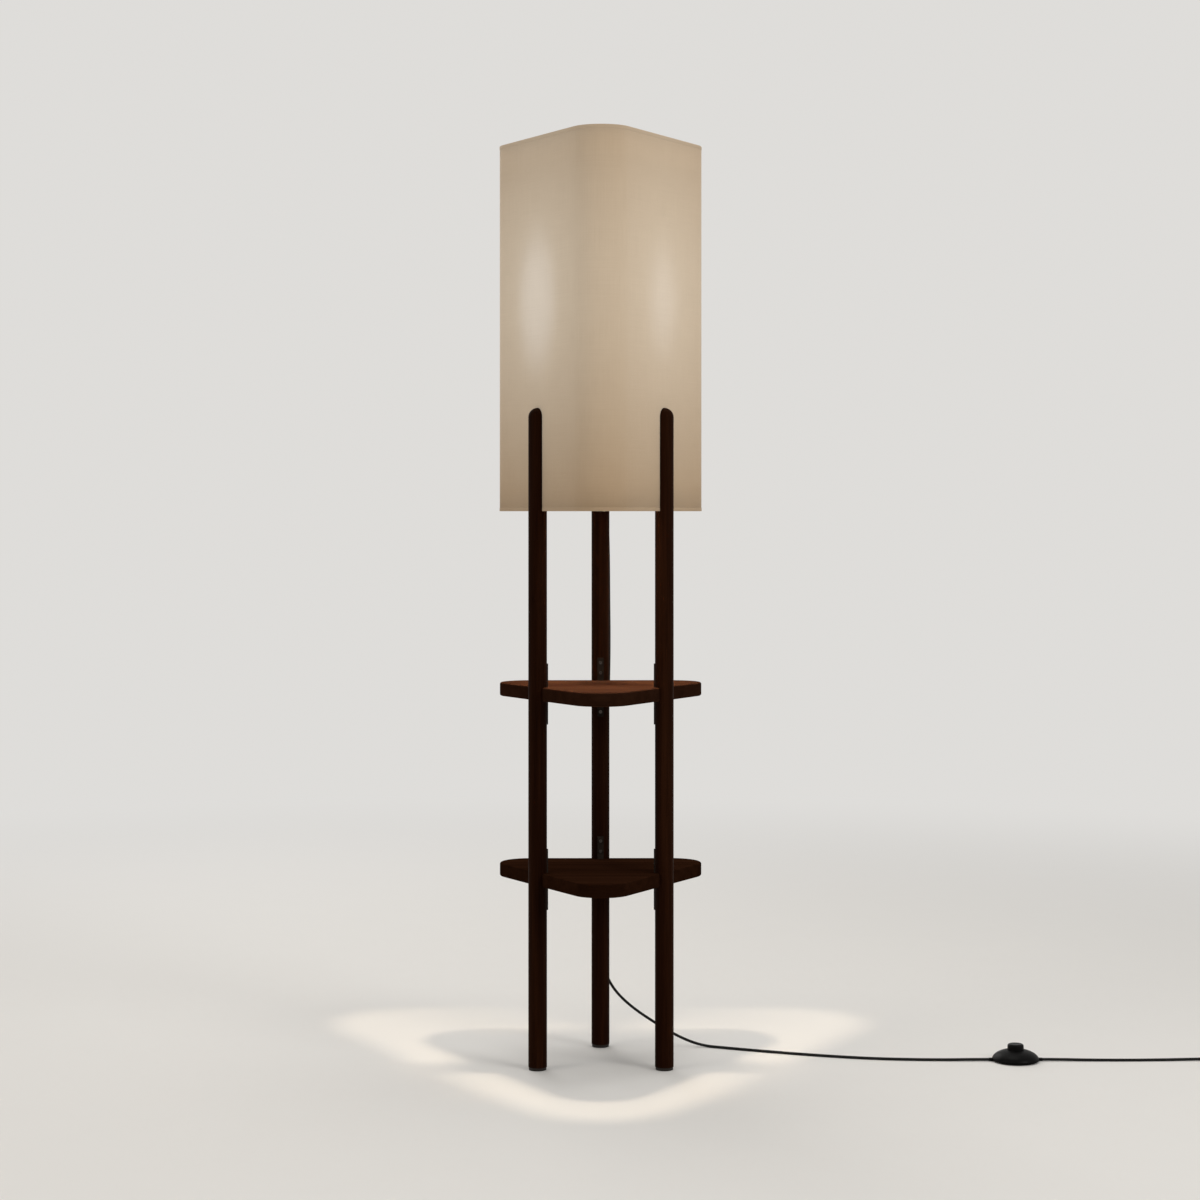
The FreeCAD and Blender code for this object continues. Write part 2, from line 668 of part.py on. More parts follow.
def make_shade():
    """The shade's stiffened skin and the wire rings inside its two ends."""
    inner = ("shade_inner", "shade_corner_r - shade_wall")
    body, pad = plate("shade_tube", "shade_face", "shade_corner_r", "shade_h", "ledge_z", inner)
    holes = [cord_hole("shade_cord_hole")]
    for which, turn in POSTS:
        hole = rod("shade_hole_" + which, "screw_shank_d / 2 + fit_gap", "post_r + 2 * overrun", along="Y")
        start = Vector(0, size("tab_face"), size("ledge_z") + size("shade_screw_rise"))
        turning = FreeCAD.Rotation(UP, turn)
        hole.Placement = FreeCAD.Placement(turning.multVec(start), turning * ALONG["Y"])
        holes.append(hole)
    node("shade_skin", cut("shade_skin", body, holes))
    make_ring("shade_bottom_ring", "carrier_top_z + ring_gap + ring_r")
    make_ring("shade_top_ring", "shade_top_z - ring_inset - ring_r")


def make_ring(name, height):
    """A wire ring of the shade's outline, swept round it."""
    body = DOC.addObject("PartDesign::Body", name)
    spine = on_plane(body, name + "_line")
    three_cornered(spine, "ring_apothem", "ring_corner_r")
    profile = body.newObject("Sketcher::SketchObject", name + "_wire")
    plane = [part for part in body.Origin.OriginFeatures if part.Role == "YZ_Plane"][0]
    profile.AttachmentSupport = [(plane, "")]
    profile.MapMode = "FlatFace"
    profile.addGeometry(Part.Circle(Vector(size("ring_apothem"), 0, 0), UP, size("ring_r")), False)
    profile.addConstraint(Sketcher.Constraint("PointOnObject", 0, 3, -1))
    drive(profile, "Radius", (0,), size("ring_r"), "wire_radius", "ring_r")
    drive(profile, "DistanceX", (-1, 1, 0, 3), size("ring_apothem"), "wire_place", "ring_apothem")
    pipe = body.newObject("PartDesign::AdditivePipe", name + "_pipe")
    pipe.Profile = profile
    pipe.Spine = spine
    body.Label = name
    NODES[name] = body
    put(body, y="axis_y", z=height)


def make_carrier():
    """The three-armed carrier on the posts' ledges, and the screws that hold it and the shade."""
    pieces = [rod("carrier_hub", "carrier_hub_d / 2", "carrier_t", z="ledge_z")]
    away = [
        rod("carrier_bolt_hole", "base_bolt_d / 2 + fit_gap", "carrier_t + 2 * overrun",
            z="ledge_z - overrun"),
        cone("carrier_sink", "base_bolt_head_d / 2 + fit_gap", "base_bolt_d / 2 + fit_gap",
             "base_bolt_head_t", z="ledge_z"),
    ]
    for which, turn in POSTS:
        arm = box("arm_" + which, "carrier_arm_w", "arm_end", "carrier_t",
                  x="-carrier_arm_w / 2", z="ledge_z")
        tab = box(
            "tab_" + which, "carrier_arm_w", "carrier_t", "carrier_tab_h",
            x="-carrier_arm_w / 2", y="tab_face - carrier_t", z="ledge_z",
        )
        hole = rod("arm_hole_" + which, "screw_shank_d / 2 + fit_gap", "carrier_t + 2 * overrun",
                   y="carrier_screw_r", z="ledge_z - overrun")
        tab_hole = rod("tab_hole_" + which, "screw_shank_d / 2 + fit_gap", "carrier_t + 2 * overrun",
                       y="tab_face - carrier_t - overrun", z="ledge_z + shade_screw_rise", along="Y")
        arm_blank = cut("arm_piece_" + which, fuse("arm_blank_" + which, [arm, tab]), [hole, tab_hole])
        arm_blank.Placement = FreeCAD.Placement(Vector(), FreeCAD.Rotation(UP, turn))
        pieces.append(arm_blank)
    node("shade_carrier", cut("shade_carrier", fuse("carrier_blank", pieces), away))
    down = wood_screw("carrier_screw", "screw_head_d", "screw_head_t", "screw_shank_d", "screw_len")
    place = Vector(0, size("carrier_screw_r"), size("carrier_top_z"))
    one = moved(down.Shape, place, FreeCAD.Rotation(Vector(1, 0, 0), -90))
    node_group("carrier_screws", [turned_copy(one, turn) for which, turn in POSTS])
    through = wood_screw("shade_screw", "screw_head_d", "screw_head_t", "screw_shank_d", "shade_screw_len")
    place = Vector(0, size("tab_face") - size("carrier_t"), size("ledge_z") + size("shade_screw_rise"))
    one = moved(through.Shape, place)
    node_group("shade_screws", [turned_copy(one, turn) for which, turn in POSTS])


def make_stem():
    """The hollow stem from the carrier up to the lampholder, its base, bolt and locknuts."""
    outer = rod("base_outer", "stem_base_d / 2", "stem_base_height", z="carrier_top_z")
    hollow = rod(
        "base_hollow", "stem_base_d / 2 - stem_base_wall", "stem_base_height - 2 * stem_base_plate",
        z="carrier_top_z + stem_base_plate",
    )
    window = box(
        "base_window", "stem_window_w", "stem_base_d", "stem_base_height - 2 * stem_base_plate",
        x="-stem_window_w / 2", z="carrier_top_z + stem_base_plate",
    )
    bolt_hole = rod("base_bolt_hole", "base_bolt_d / 2 + fit_gap", "stem_base_plate + 2 * overrun",
                    z="carrier_top_z - overrun")
    stem_hole = rod("base_stem_hole", "stem_d / 2 + fit_gap", "stem_base_plate + 2 * overrun",
                    z="stem_base_top_z - stem_base_plate - fit_gap")
    node("stem_base", cut("stem_base", outer, [hollow, window, bolt_hole, stem_hole]))
    bolt = fuse(
        "stem_base_bolt",
        [
            cone("bolt_head", "base_bolt_head_d / 2", "base_bolt_d / 2", "base_bolt_head_t", z="ledge_z"),
            rod("bolt_shank", "base_bolt_d / 2", "carrier_t + stem_base_plate", z="ledge_z"),
        ],
    )
    node("stem_base_bolt", bolt)
    tube = rod("stem_outer", "stem_d / 2", "stem_top_z - stem_low_z", z="stem_low_z")
    bore = rod("stem_hollow", "stem_bore / 2", "stem_top_z - stem_low_z + 2 * overrun",
               z="stem_low_z - overrun")
    node("stem_tube", cut("stem_tube", tube, [bore]))
    nut = DOC.addObject("Part::Prism", "nut_blank")
    nut.Polygon = 6
    bind(nut, Circumradius="nut_across / sqrt(3)", Height="nut_t")
    nut_bore = rod("nut_bore", "stem_d / 2 + fit_gap", "nut_t + 2 * overrun", z="-overrun")
    locknut = cut("locknut", nut, [nut_bore])
    DOC.recompute()
    seats = (size("stem_base_top_z"), size("cap_z") - size("nut_t"), size("cap_z") + size("holder_wall"))
    node_group("stem_locknuts", [moved(locknut.Shape, Vector(0, 0, seat)) for seat in seats])


def make_holder():
    """The lampholder on the stem: cap, shell, ceramic insert, liner and middle contact."""
    wall = "holder_wall"
    cap = fuse(
        "cap_outer",
        [
            cone("cap_cone", "holder_cap_d / 2", "holder_d / 2", "holder_cone_h", z="cap_z"),
            rod("cap_band", "holder_d / 2", "holder_cap_h - holder_cone_h", z="cap_z + holder_cone_h"),
        ],
    )
    hollow = fuse(
        "cap_hollow",
        [
            cone("cap_hollow_cone", f"holder_cap_d / 2 - {wall}", f"holder_d / 2 - {wall}",
                 f"holder_cone_h - {wall}", z=f"cap_z + {wall}"),
            rod("cap_hollow_band", f"holder_d / 2 - {wall}", "holder_cap_h - holder_cone_h + overrun",
                z="cap_z + holder_cone_h"),
        ],
    )
    stem_hole = rod("cap_stem_hole", "stem_d / 2 + fit_gap", "holder_wall + 2 * overrun",
                    z="cap_z - overrun")
    node("lampholder_cap", cut("lampholder_cap", cap, [hollow, stem_hole]))
    shell = fuse(
        "shell_outer",
        [
            rod("shell_band", "holder_d / 2", "holder_shell_h", z="shell_z"),
            rod("shell_lip", "holder_lip_d / 2", "holder_lip_t", z="neck_z - holder_lip_t"),
        ],
    )
    bore = rod("shell_bore", "holder_d / 2 - holder_wall", "holder_shell_h + 2 * overrun",
               z="shell_z - overrun")
    node("lampholder_shell", cut("lampholder_shell", shell, [bore]))
    insert = rod("insert_disc", "holder_d / 2 - holder_wall - fit_gap", "insert_h", z="insert_z")
    node("lampholder_insert", insert)
    seat = "shell_z + insert_rise"
    liner = rod("liner_outer", "liner_d / 2", "liner_h", z=seat)
    liner_bore = rod("liner_bore", "liner_d / 2 - liner_wall", "liner_h + 2 * overrun",
                     z=f"{seat} - overrun")
    node("lampholder_liner", cut("lampholder_liner", liner, [liner_bore]))
    strip = box("contact_strip", "contact_len", "contact_w", f"tip_z - ({seat})",
                x="-contact_len / 2", y="-contact_w / 2", z=seat)
    node("lampholder_contact", strip)


def make_bulb():
    """The frosted bulb: hollow glass globe on a screw base with a bottom contact."""
    base = fuse(
        "bulb_base_outer",
        [
            rod("bulb_base_body", "bulb_base_d / 2", "bulb_base_height", z="neck_z - bulb_base_height"),
            rod("bulb_base_tip", "bulb_tip_d / 2", "bulb_tip_t", z="tip_z"),
        ],
    )
    base_hollow = rod("bulb_base_hollow", "bulb_base_d / 2 - bulb_base_wall", "bulb_base_height + overrun",
                      z="neck_z - bulb_base_height + bulb_base_wall")
    node("bulb_base", cut("bulb_base", base, [base_hollow]))
    glass = fuse(
        "glass_outer",
        [
            ball("glass_ball", "bulb_d / 2", z="bulb_z"),
            cone("glass_neck", "bulb_neck_d / 2", "bulb_shoulder_d / 2", "bulb_neck_h", z="neck_z"),
        ],
    )
    hollow = fuse(
        "glass_hollow",
        [
            ball("glass_hollow_ball", "bulb_d / 2 - bulb_wall", z="bulb_z"),
            cone("glass_hollow_neck", "bulb_neck_d / 2 - bulb_wall", "bulb_shoulder_d / 2 - bulb_wall",
                 "bulb_neck_h - bulb_wall", z="neck_z + bulb_wall"),
        ],
    )
    node("bulb_glass", cut("bulb_glass", glass, [hollow]))


def make_clips():
    """The cord clips on the back post and the nails that hold them."""
    ring = rod("clip_ring", "clip_r", "clip_height", y="clip_d", z="-clip_height / 2")
    lug = box("clip_lug", "clip_lug_w", "clip_lug_out", "clip_height", x="-clip_lug_w", z="-clip_height / 2")
    tall = "clip_height + 2 * overrun"
    bore = rod("clip_bore", "cord_r + fit_gap", tall, y="clip_d", z="-clip_height / 2 - overrun")
    post = rod("clip_seat", "post_r + fit_gap / 2", tall, z="-clip_height / 2 - overrun")
    nail_hole = rod("clip_nail_hole", "nail_d / 2 + fit_gap", "clip_lug_out + 2 * overrun",
                    x="-nail_x", y="-overrun", along="Y")
    clip = cut("clip", fuse("clip_blank", [ring, lug]), [bore, post, nail_hole])
    nail = fuse(
        "nail",
        [
            rod("nail_head", "nail_head_d / 2", "nail_head_t", x="-nail_x", y="clip_lug_out", along="Y"),
            rod("nail_shank", "nail_d / 2", "nail_len", x="-nail_x", y="clip_lug_out", along="-Y"),
        ],
    )
    DOC.recompute()
    for label, piece in (("cord_clips", clip), ("clip_nails", nail)):
        copies = []
        for height in CLIPS:
            copy = piece.Shape.copy()
            copy.Placement = clip_frame(height)
            copies.append(copy)
        node_group(label, copies)


# The cord's routes, about the lamp's axis. Each is a list of corners that the tube rounds.
# The held cord goes from the lampholder down the stem, out over the carrier's back arm,
# through the hole in the back post and down behind that post to its lowest clip. Its last
# number is the largest radius that the bend has room for, 0 for no limit.
HELD_ROUTE = (
    (0, 0, 1156, 0),
    (0, 0, 911.6, 13),
    (2.5, 34, 914, 0),
    (4.8, 60, 932, 0),
    (6.2, 84, 952, 0),
    (7, 106, 957.5, 0),
    (7, 135.2, 933, 14),
    (10.2, 132.4, 905, 0),
    (12.6, 130.3, 868, 0),
    (13.9, 129.1, 812, 0),
    (14.2, 128.7, 752, 0),
    (14.9, 128.1, 692, 0),
    (14.6, 128.4, 640, 0),
    (13.2, 129.7, 586, 0),
    (10.2, 132.4, 536, 0),
    (6.96, 133.89, 498, 0),
    (6.96, 133.89, 242, 0),
    (6.8, 133.9, 198, 0),
    (6.96, 133.89, 158, 0),
    (6.96, 133.89, 138, 0),
)
# From the lowest clip through the air to the floor, and along it to the foot switch
SWITCH_ROUTE = (
    (6.96, 133.89, 138),
    (6.96, 133.89, 127),
    (13.0, 133.6, 109),
    (28.0, 132.2, 86),
    (54.0, 129.6, 62.5),
    (89.0, 125.8, 39.5),
    (129.0, 120.3, 16.5),
    (168.0, 112.0, 2.3),
    (212.0, 92.5, 2.3),
    (262.0, 71.0, 2.3),
    (320.0, 48.0, 2.3),
    (381.0, 27.5, 2.3),
    (443.0, 11.0, 2.3),
    (505.0, 3.2, 2.3),
    (561.0, 0.4, 2.4),
    (602.5, 0.0, 3.0),
    (632.5, 0.0, 3.0),
)
# From the foot switch along the floor to the coil
COIL_ROUTE = (
    (720.5, 0.0, 3.0),
    (747.0, 0.0, 3.0),
    (794.0, -2.2, 2.4),
    (852.0, -3.2, 2.3),
    (911.0, -1.6, 2.3),
    (967.0, 1.8, 2.7),
    (1012.0, 2.8, 3.4),
    (1043.4, 2.8, 3.4),
)
# From the end of the coil down to the plug
PLUG_ROUTE = (
    (1085.2, 44.6, 8.6),
    (1085.2, 60.0, 8.6),
    (1086.4, 82.0, 6.85),
    (1086.4, 98.0, 6.85),
)
RUN_SHARE = 0.45


def rounded_corner(before, corner, after, reach):
    """The arc that rounds a corner, tangent to both runs at a distance from the corner."""
    towards = (corner - before).normalize()
    onwards = (after - corner).normalize()
    start, end = corner - towards * reach, corner + onwards * reach
    half_turn = towards.getAngle(onwards) / 2
    radius = reach / math.tan(half_turn)
    middle = (start + end) / 2
    inwards = (middle - corner).normalize()
    top = corner + inwards * (radius / math.cos(half_turn) - radius)
    return start, top, end, radius


def route_wire(name, corners):
    """Straight runs joined by tangent arcs as large as the runs or the named limit allow."""
    points = [Vector(*corner[:3]) for corner in corners]
    limits = [corner[3] if len(corner) > 3 else 0 for corner in corners]
    edges, radii, here = [], [], points[0]
    for i in range(1, len(points) - 1):
        runs = [points[i].distanceToPoint(points[i + step]) for step in (-1, 1)]
        turn = (points[i] - points[i - 1]).getAngle(points[i + 1] - points[i])
        reach = RUN_SHARE * min(runs)
        if limits[i]:
            reach = min(reach, limits[i] * math.tan(turn / 2))
        start, top, end, radius = rounded_corner(points[i - 1], points[i], points[i + 1], reach)
        edges.append(Part.LineSegment(here, start).toShape())
        edges.append(Part.Arc(start, top, end).toShape())
        radii.append(radius)
        here = end
    edges.append(Part.LineSegment(here, points[-1]).toShape())
    print(f"{name}: {sum(edge.Length for edge in edges):.1f} mm long, radii",
          " ".join(f"{radius:.0f}" for radius in radii))
    return Part.Wire(edges)


def tube(name, wire):
    """The round cord along a wire, with its volume set against section times length."""
    first = wire.Edges[0]
    start = first.valueAt(first.FirstParameter)
    way = first.tangentAt(first.FirstParameter)
    ring = Part.Wire([Part.Circle(start, way, size("cord_r")).toShape()])
    sweep = Part.BRepOffsetAPI.MakePipeShell(wire)
    sweep.add(ring)
    sweep.build()
    sweep.makeSolid()
    solid = Part.Solid(sweep.shape()) if sweep.shape().ShapeType != "Solid" else sweep.shape()
    if solid.Volume < 0:
        solid.reverse()
    expected = math.pi * size("cord_r") ** 2 * wire.Length
    print(f"{name}: volume {solid.Volume:.1f} mm3, section times length {expected:.1f} mm3")
    obj = DOC.addObject("Part::Feature", name)
    obj.Shape = solid
    return node(name, obj)


def make_cords():
    """The held cord, the free stretches and the plug's short end."""
    routes = (
        ("cord_in_lamp", HELD_ROUTE),
        ("cord_to_switch", SWITCH_ROUTE),
        ("cord_to_coil", COIL_ROUTE),
        ("cord_to_plug", PLUG_ROUTE),
    )
    for name, corners in routes:
        tube(name, route_wire(name, corners))


# The coil's turns: in along the lower layer, half a turn up, and out along the upper one
TURNS_TO_MIDDLE = 3.625
COIL_START = -90
TIE_TURNS = (-30, 150)


def coil_stations():
    """Points and directions along the coil, one for each quarter turn."""
    pitch, outer, low = size("coil_pitch"), size("coil_r"), size("coil_z")
    middle = Vector(size("coil_x"), size("coil_y"), low)
    rate = pitch / (2 * math.pi)
    half = TURNS_TO_MIDDLE * 2 * math.pi
    inmost = outer - pitch * TURNS_TO_MIDDLE
    climb_from, climb_to = half - math.pi / 2, half + math.pi / 2
    stations = []
    for quarter in range(int(TURNS_TO_MIDDLE * 2 * 4) + 1):
        turned = quarter * math.pi / 2
        angle = math.radians(COIL_START) + turned
        radius = inmost + rate * abs(turned - half)
        inwards = -rate if turned < half else rate
        if turned <= climb_from:
            height, slope = 0, 0
        elif turned >= climb_to:
            height, slope = pitch, 0
        else:
            share = (turned - climb_from) / math.pi
            height = pitch * share ** 2 * (3 - 2 * share)
            slope = pitch * 6 * share * (1 - share) / math.pi
        out = Vector(math.cos(angle), math.sin(angle), 0)
        along = Vector(-math.sin(angle), math.cos(angle), 0)
        stations.append((middle + out * radius + UP * height, (along * radius + out * inwards + UP * slope)))
    return [(point, way.normalize()) for point, way in stations]


def arc_from(start, way, end):
    """The arc that leaves a point along a direction and ends at another point."""
    chord = end - start
    half_turn = way.getAngle(chord)
    reach = chord.Length / 2 / math.cos(half_turn)
    corner = start + way * reach
    middle = (start + end) / 2
    radius = reach / math.tan(half_turn)
    top = corner + (middle - corner).normalize() * (radius / math.cos(half_turn) - radius)
    return Part.Arc(start, top, end).toShape(), radius


def biarc(start, way, end, last_way):
    """Two arcs that meet smoothly between two points with given directions."""
    across, both = end - start, way + last_way
    bend = 2 * (1 - way.dot(last_way))
    along = across.dot(both)
    reach = (-along + math.sqrt(along * along + bend * across.dot(across))) / bend
    joint = (start + way * reach + end - last_way * reach) / 2
    first, first_radius = arc_from(start, way, joint)
    middle_way = ((end - last_way * reach) - (start + way * reach)).normalize()
    second, second_radius = arc_from(joint, middle_way, end)
    return [first, second], [first_radius, second_radius]


def make_coil():
    """The put-away length of the cord as one unbroken tube with all its turns."""
    stations = coil_stations()
    straight = size("cord_d")
    (begin, begin_way), (finish, finish_way) = stations[0], stations[-1]
    stations[0] = (begin, Vector(1, 0, 0))
    stations[-1] = (finish, Vector(0, 1, 0))
    begin_way, finish_way = stations[0][1], stations[-1][1]
    edges, radii = [Part.LineSegment(begin - begin_way * straight, begin).toShape()], []
    for (start, way), (end, last_way) in zip(stations, stations[1:]):
        arcs, both = biarc(start, way, end, last_way)
        edges += arcs
        radii += both
    edges.append(Part.LineSegment(finish, finish + finish_way * straight).toShape())
    wire = Part.Wire(edges)
    print(f"cord_coil: {wire.Length:.1f} mm long, tightest radius {min(radii):.1f} mm")
    print(f"cord_coil: least gap to itself {least_gap(edges):.2f} mm")
    tube("cord_coil", wire)
    ends = [edges[0].valueAt(edges[0].FirstParameter), edges[-1].valueAt(edges[-1].LastParameter)]
    print("cord_coil: ends", *[[round(c, 2) for c in point] for point in ends])


def least_gap(edges):
    """The least gap between two stretches of the coil's tube that aren't neighbours."""
    points, run = [], 0
    step = size("cord_r")
    for edge in edges:
        count = max(2, math.ceil(edge.Length / step))
        points += [(run + edge.Length * i / count, point)
                   for i, point in enumerate(edge.discretize(count + 1)[:-1])]
        run += edge.Length
    apart = 2 * math.pi * (size("coil_r") - TURNS_TO_MIDDLE * size("coil_pitch")) / 2
    least = math.inf
    for i, (at, point) in enumerate(points):
        for other_at, other in points[i + 1:]:
            if other_at - at > apart:
                least = min(least, point.distanceToPoint(other))
    return least - size("cord_d")


def make_ties():
    """Two flat ties round the coil's turns; the coil lies on them."""
    tall = "coil_pitch + cord_d + 2 * tie_gap"
    inner_r = f"coil_r - {TURNS_TO_MIDDLE} * coil_pitch - cord_r - tie_gap"
    deep = f"{TURNS_TO_MIDDLE} * coil_pitch + cord_d + 2 * tie_gap"
    outer = box("tie_outer", f"{deep} + 2 * tie_t", "tie_w", f"{tall} + 2 * tie_t",
                x=f"{inner_r} - tie_t", y="-tie_w / 2")
    inner = box("tie_inner", deep, "tie_w + 2 * overrun", tall,
                x=inner_r, y="-tie_w / 2 - overrun", z="tie_t")
    tie = cut("tie", outer, [inner])
    DOC.recompute()
    place = Vector(size("coil_x"), size("coil_y"), 0)
    copies = [moved(tie.Shape, place, FreeCAD.Rotation(UP, turn)) for turn in TIE_TURNS]
    node_group("coil_ties", copies)


def make_switch():
    """The foot switch: pad, base, domed cover, mechanism, spring, button, screws and bushes."""
    place = {"x": "switch_x"}
    pad = rod("pad_disc", "pad_d / 2", "pad_h")
    pad_holes = [rod(f"pad_hole_{side}", "case_screw_head_d / 2 + fit_gap", "pad_h + 2 * overrun",
                     y=f"{side} * boss_y", z="-overrun") for side in ("1", "-1")]
    node("switch_pad", cut("switch_pad", pad, pad_holes), **place)
    base = cone("switch_base_disc", "switch_foot_d / 2", "switch_r", "switch_base_t", z="pad_h")
    head_z = "pad_h + case_screw_head_t + fit_gap"
    away = bush_holes("base")
    for side in ("1", "-1"):
        away.append(rod(f"base_sink_{side}", "case_screw_head_d / 2 + fit_gap",
                        "case_screw_head_t + fit_gap + overrun", y=f"{side} * boss_y", z="pad_h - overrun"))
        away.append(rod(f"base_hole_{side}", "case_screw_d / 2 + fit_gap", "switch_base_t + 2 * overrun",
                        y=f"{side} * boss_y", z="pad_h - overrun"))
    node("switch_base", cut("switch_base", base, away), **place)
    make_cover(place)
    block = box("works_block", "works_len", "works_w", "works_h",
                x="-works_len / 2", y="-works_w / 2", z="cover_z")
    pocket = rod("works_pocket", "spring_d / 2 + 2 * fit_gap", "works_h + overrun", z="works_z")
    node("switch_works", cut("switch_works", block, [pocket]), **place)
    coil = rod("spring_outer", "spring_d / 2", "flange_z - works_z", z="works_z")
    coil_bore = rod("spring_bore", "spring_d / 2 - spring_wall", "flange_z - works_z + 2 * overrun",
                    z="works_z - overrun")
    node("switch_spring", cut("switch_spring", coil, [coil_bore]), **place)
    cap = rod("button_cap", "button_d / 2", "button_top_z - flange_z", z="flange_z")
    soft = rounded("button_soft", cap, "button_edge_r", lambda edge: at_height(edge, size("button_top_z")))
    button = fuse(
        "switch_button",
        [
            soft,
            rod("button_flange", "flange_d / 2", "flange_t", z="flange_z"),
            rod("button_plunger", "plunger_d / 2", "flange_z - plunger_z", z="plunger_z"),
        ],
    )
    node("switch_button", button, **place)
    screws = []
    for side in ("1", "-1"):
        screws.append(fuse(f"case_screw_{side}", [
            rod(f"case_head_{side}", "case_screw_head_d / 2", "case_screw_head_t",
                y=f"{side} * boss_y", z=f"{head_z} - case_screw_head_t"),
            rod(f"case_shank_{side}", "case_screw_d / 2", "case_screw_len", y=f"{side} * boss_y", z=head_z),
        ]))
    pair = DOC.addObject("Part::Compound", "switch_screws")
    pair.Links = screws
    node("switch_screws", pair, **place)
    for name, first in (("bush_in", "-switch_r - relief_out"), ("bush_out", "switch_r - relief_in")):
        bush = rod(name + "_rod", "relief_d / 2", "relief_out + relief_in", x=first, z="entry_z", along="X")
        node("switch_" + name, bush, **place)


def bush_holes(name):
    """The round seats in the switch's rim for its two cord bushes."""
    long = "relief_in + fit_gap + overrun"
    radius = "relief_d / 2 + fit_gap / 2"
    return [
        rod(name + "_bush_in_hole", radius, long, x="-switch_r - overrun", z="entry_z", along="X"),
        rod(name + "_bush_out_hole", radius, long,
            x="switch_r - relief_in - fit_gap", z="entry_z", along="X"),
    ]


def make_cover(place):
    """The domed cover: a flattened ball's cap over an upright rim, hollow, with two screw bosses."""
    outer = common(
        "cover_outer",
        rod("cover_drum", "switch_r", "cover_top_z - cover_z", z="cover_z"),
        oval("cover_dome", "dome_reach", "dome_up", z="dome_mid_z"),
    )
    inner = common(
        "cover_inner",
        rod("cover_inner_drum", "switch_r - cover_wall", "cover_top_z - cover_z - cover_wall", z="cover_z"),
        oval("cover_inner_dome", "dome_reach - cover_wall", "dome_up - cover_wall", z="dome_mid_z"),
    )
    shell = cut("cover_shell", outer, [inner])
    bosses = [rod(f"boss_{side}", "boss_d / 2", "boss_top_z - cover_z", y=f"{side} * boss_y", z="cover_z")
              for side in ("1", "-1")]
    away = [rod("cover_button_hole", "button_d / 2 + button_gap", "cover_top_z", z="cover_z")]
    away += bush_holes("cover")
    away += [rod(f"boss_hole_{side}", "case_screw_d / 2 + fit_gap", "case_screw_len",
                 y=f"{side} * boss_y", z="pad_h + case_screw_head_t + 2 * fit_gap") for side in ("1", "-1")]
    node("switch_cover", cut("switch_cover", fuse("cover_blank", [shell] + bosses), away), **place)


def make_plug():
    """The flat two-pin plug with its tapered relief, its cord end towards -Y."""
    place = {"x": "plug_x"}
    back = "plug_y + plug_relief_len"
    body = DOC.addObject("Part::Wedge", "plug_wedge")
    bind(
        body,
        Xmin="-plug_w / 2 + plug_taper", Xmax="plug_w / 2 - plug_taper",
        X2min="-plug_w / 2", X2max="plug_w / 2",
        Ymin="0", Ymax="plug_len", Zmin="0", Zmax="plug_t", Z2min="0", Z2max="plug_t",
    )
    put(body, y=back)
    flat = size("fit_gap")
    soft = rounded(
        "plug_soft", body, "plug_edge_r",
        lambda edge: abs(edge.BoundBox.ZMax - edge.BoundBox.ZMin) < flat and edge.BoundBox.YLength > flat,
    )
    root = f"{back} + plug_len - plug_pin_root"
    away = [rod(f"plug_pin_hole_{side}", "plug_pin_root_d / 2 + fit_gap / 2", "plug_pin_root + overrun",
                x=f"{side} * plug_pin_apart / 2", y=root, z="plug_z", along="Y")
            for side in ("1", "-1")]
    node("plug_body", cut("plug_body", soft, away), **place)
    pins = []
    for side in ("1", "-1"):
        across = f"{side} * plug_pin_apart / 2"
        bare = rod(f"plug_pin_bare_{side}", "plug_pin_d / 2", "plug_pin_len",
                   x=across, y=f"{root} + plug_pin_root", z="plug_z", along="Y")
        end = rounded(f"plug_pin_end_{side}", bare, "plug_pin_tip_r",
                      lambda edge: edge.BoundBox.YLength < flat and edge.BoundBox.YMax > size("plug_y")
                      + size("plug_relief_len") + size("plug_len") + flat)
        stub = rod(f"plug_pin_stub_{side}", "plug_pin_root_d / 2", "plug_pin_root",
                   x=across, y=root, z="plug_z", along="Y")
        pins.append(fuse(f"plug_pin_{side}", [end, stub]))
    both = DOC.addObject("Part::Compound", "plug_pins")
    both.Links = pins
    node("plug_pins", both, **place)
    relief = cone("plug_relief_cone", "plug_relief_tip_d / 2", "plug_relief_d / 2", "plug_relief_len",
                  y="plug_y", z="plug_z", along="Y")
    node("plug_relief", relief, **place)


def save_all():
    """Checks every object and sub-part, then writes each sub-part to its file."""
    DOC.recompute()
    for obj in DOC.Objects:
        if "Invalid" in obj.State or "Error" in obj.State:
            raise RuntimeError(f"{obj.Name} failed: {obj.State}")
    for label, obj in NODES.items():
        if obj.Shape.isNull() or not obj.Shape.isValid() or not obj.Shape.Solids:
            raise RuntimeError(f"{label} has no valid solid")
    os.makedirs("parts", exist_ok=True)
    for label, obj in NODES.items():
        obj.Shape.exportStep(os.path.join("parts", label + ".step"))
    print(len(NODES), "sub-parts written")


make_posts()
for shelf_name, shelf_top in SHELVES:
    make_shelf(shelf_name, shelf_top)
make_shade()
make_carrier()
make_stem()
make_holder()
make_bulb()
make_clips()
make_cords()
make_coil()
make_ties()
make_switch()
make_plug()
save_all()
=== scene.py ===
"""Dresses the floor lamp with storage: posts, shelves, fabric shade, foot switch and cord.

Every length is in metres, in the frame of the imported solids: +Z up, the lamp's axis a little
behind the origin, the back post on the +Y side and the foot switch out along +X.
"""

import logging
import math
from dataclasses import dataclass, field
from enum import Enum
from typing import Any, Iterable, Mapping, Sequence

import bmesh
import bpy
from mathutils import Matrix, Vector

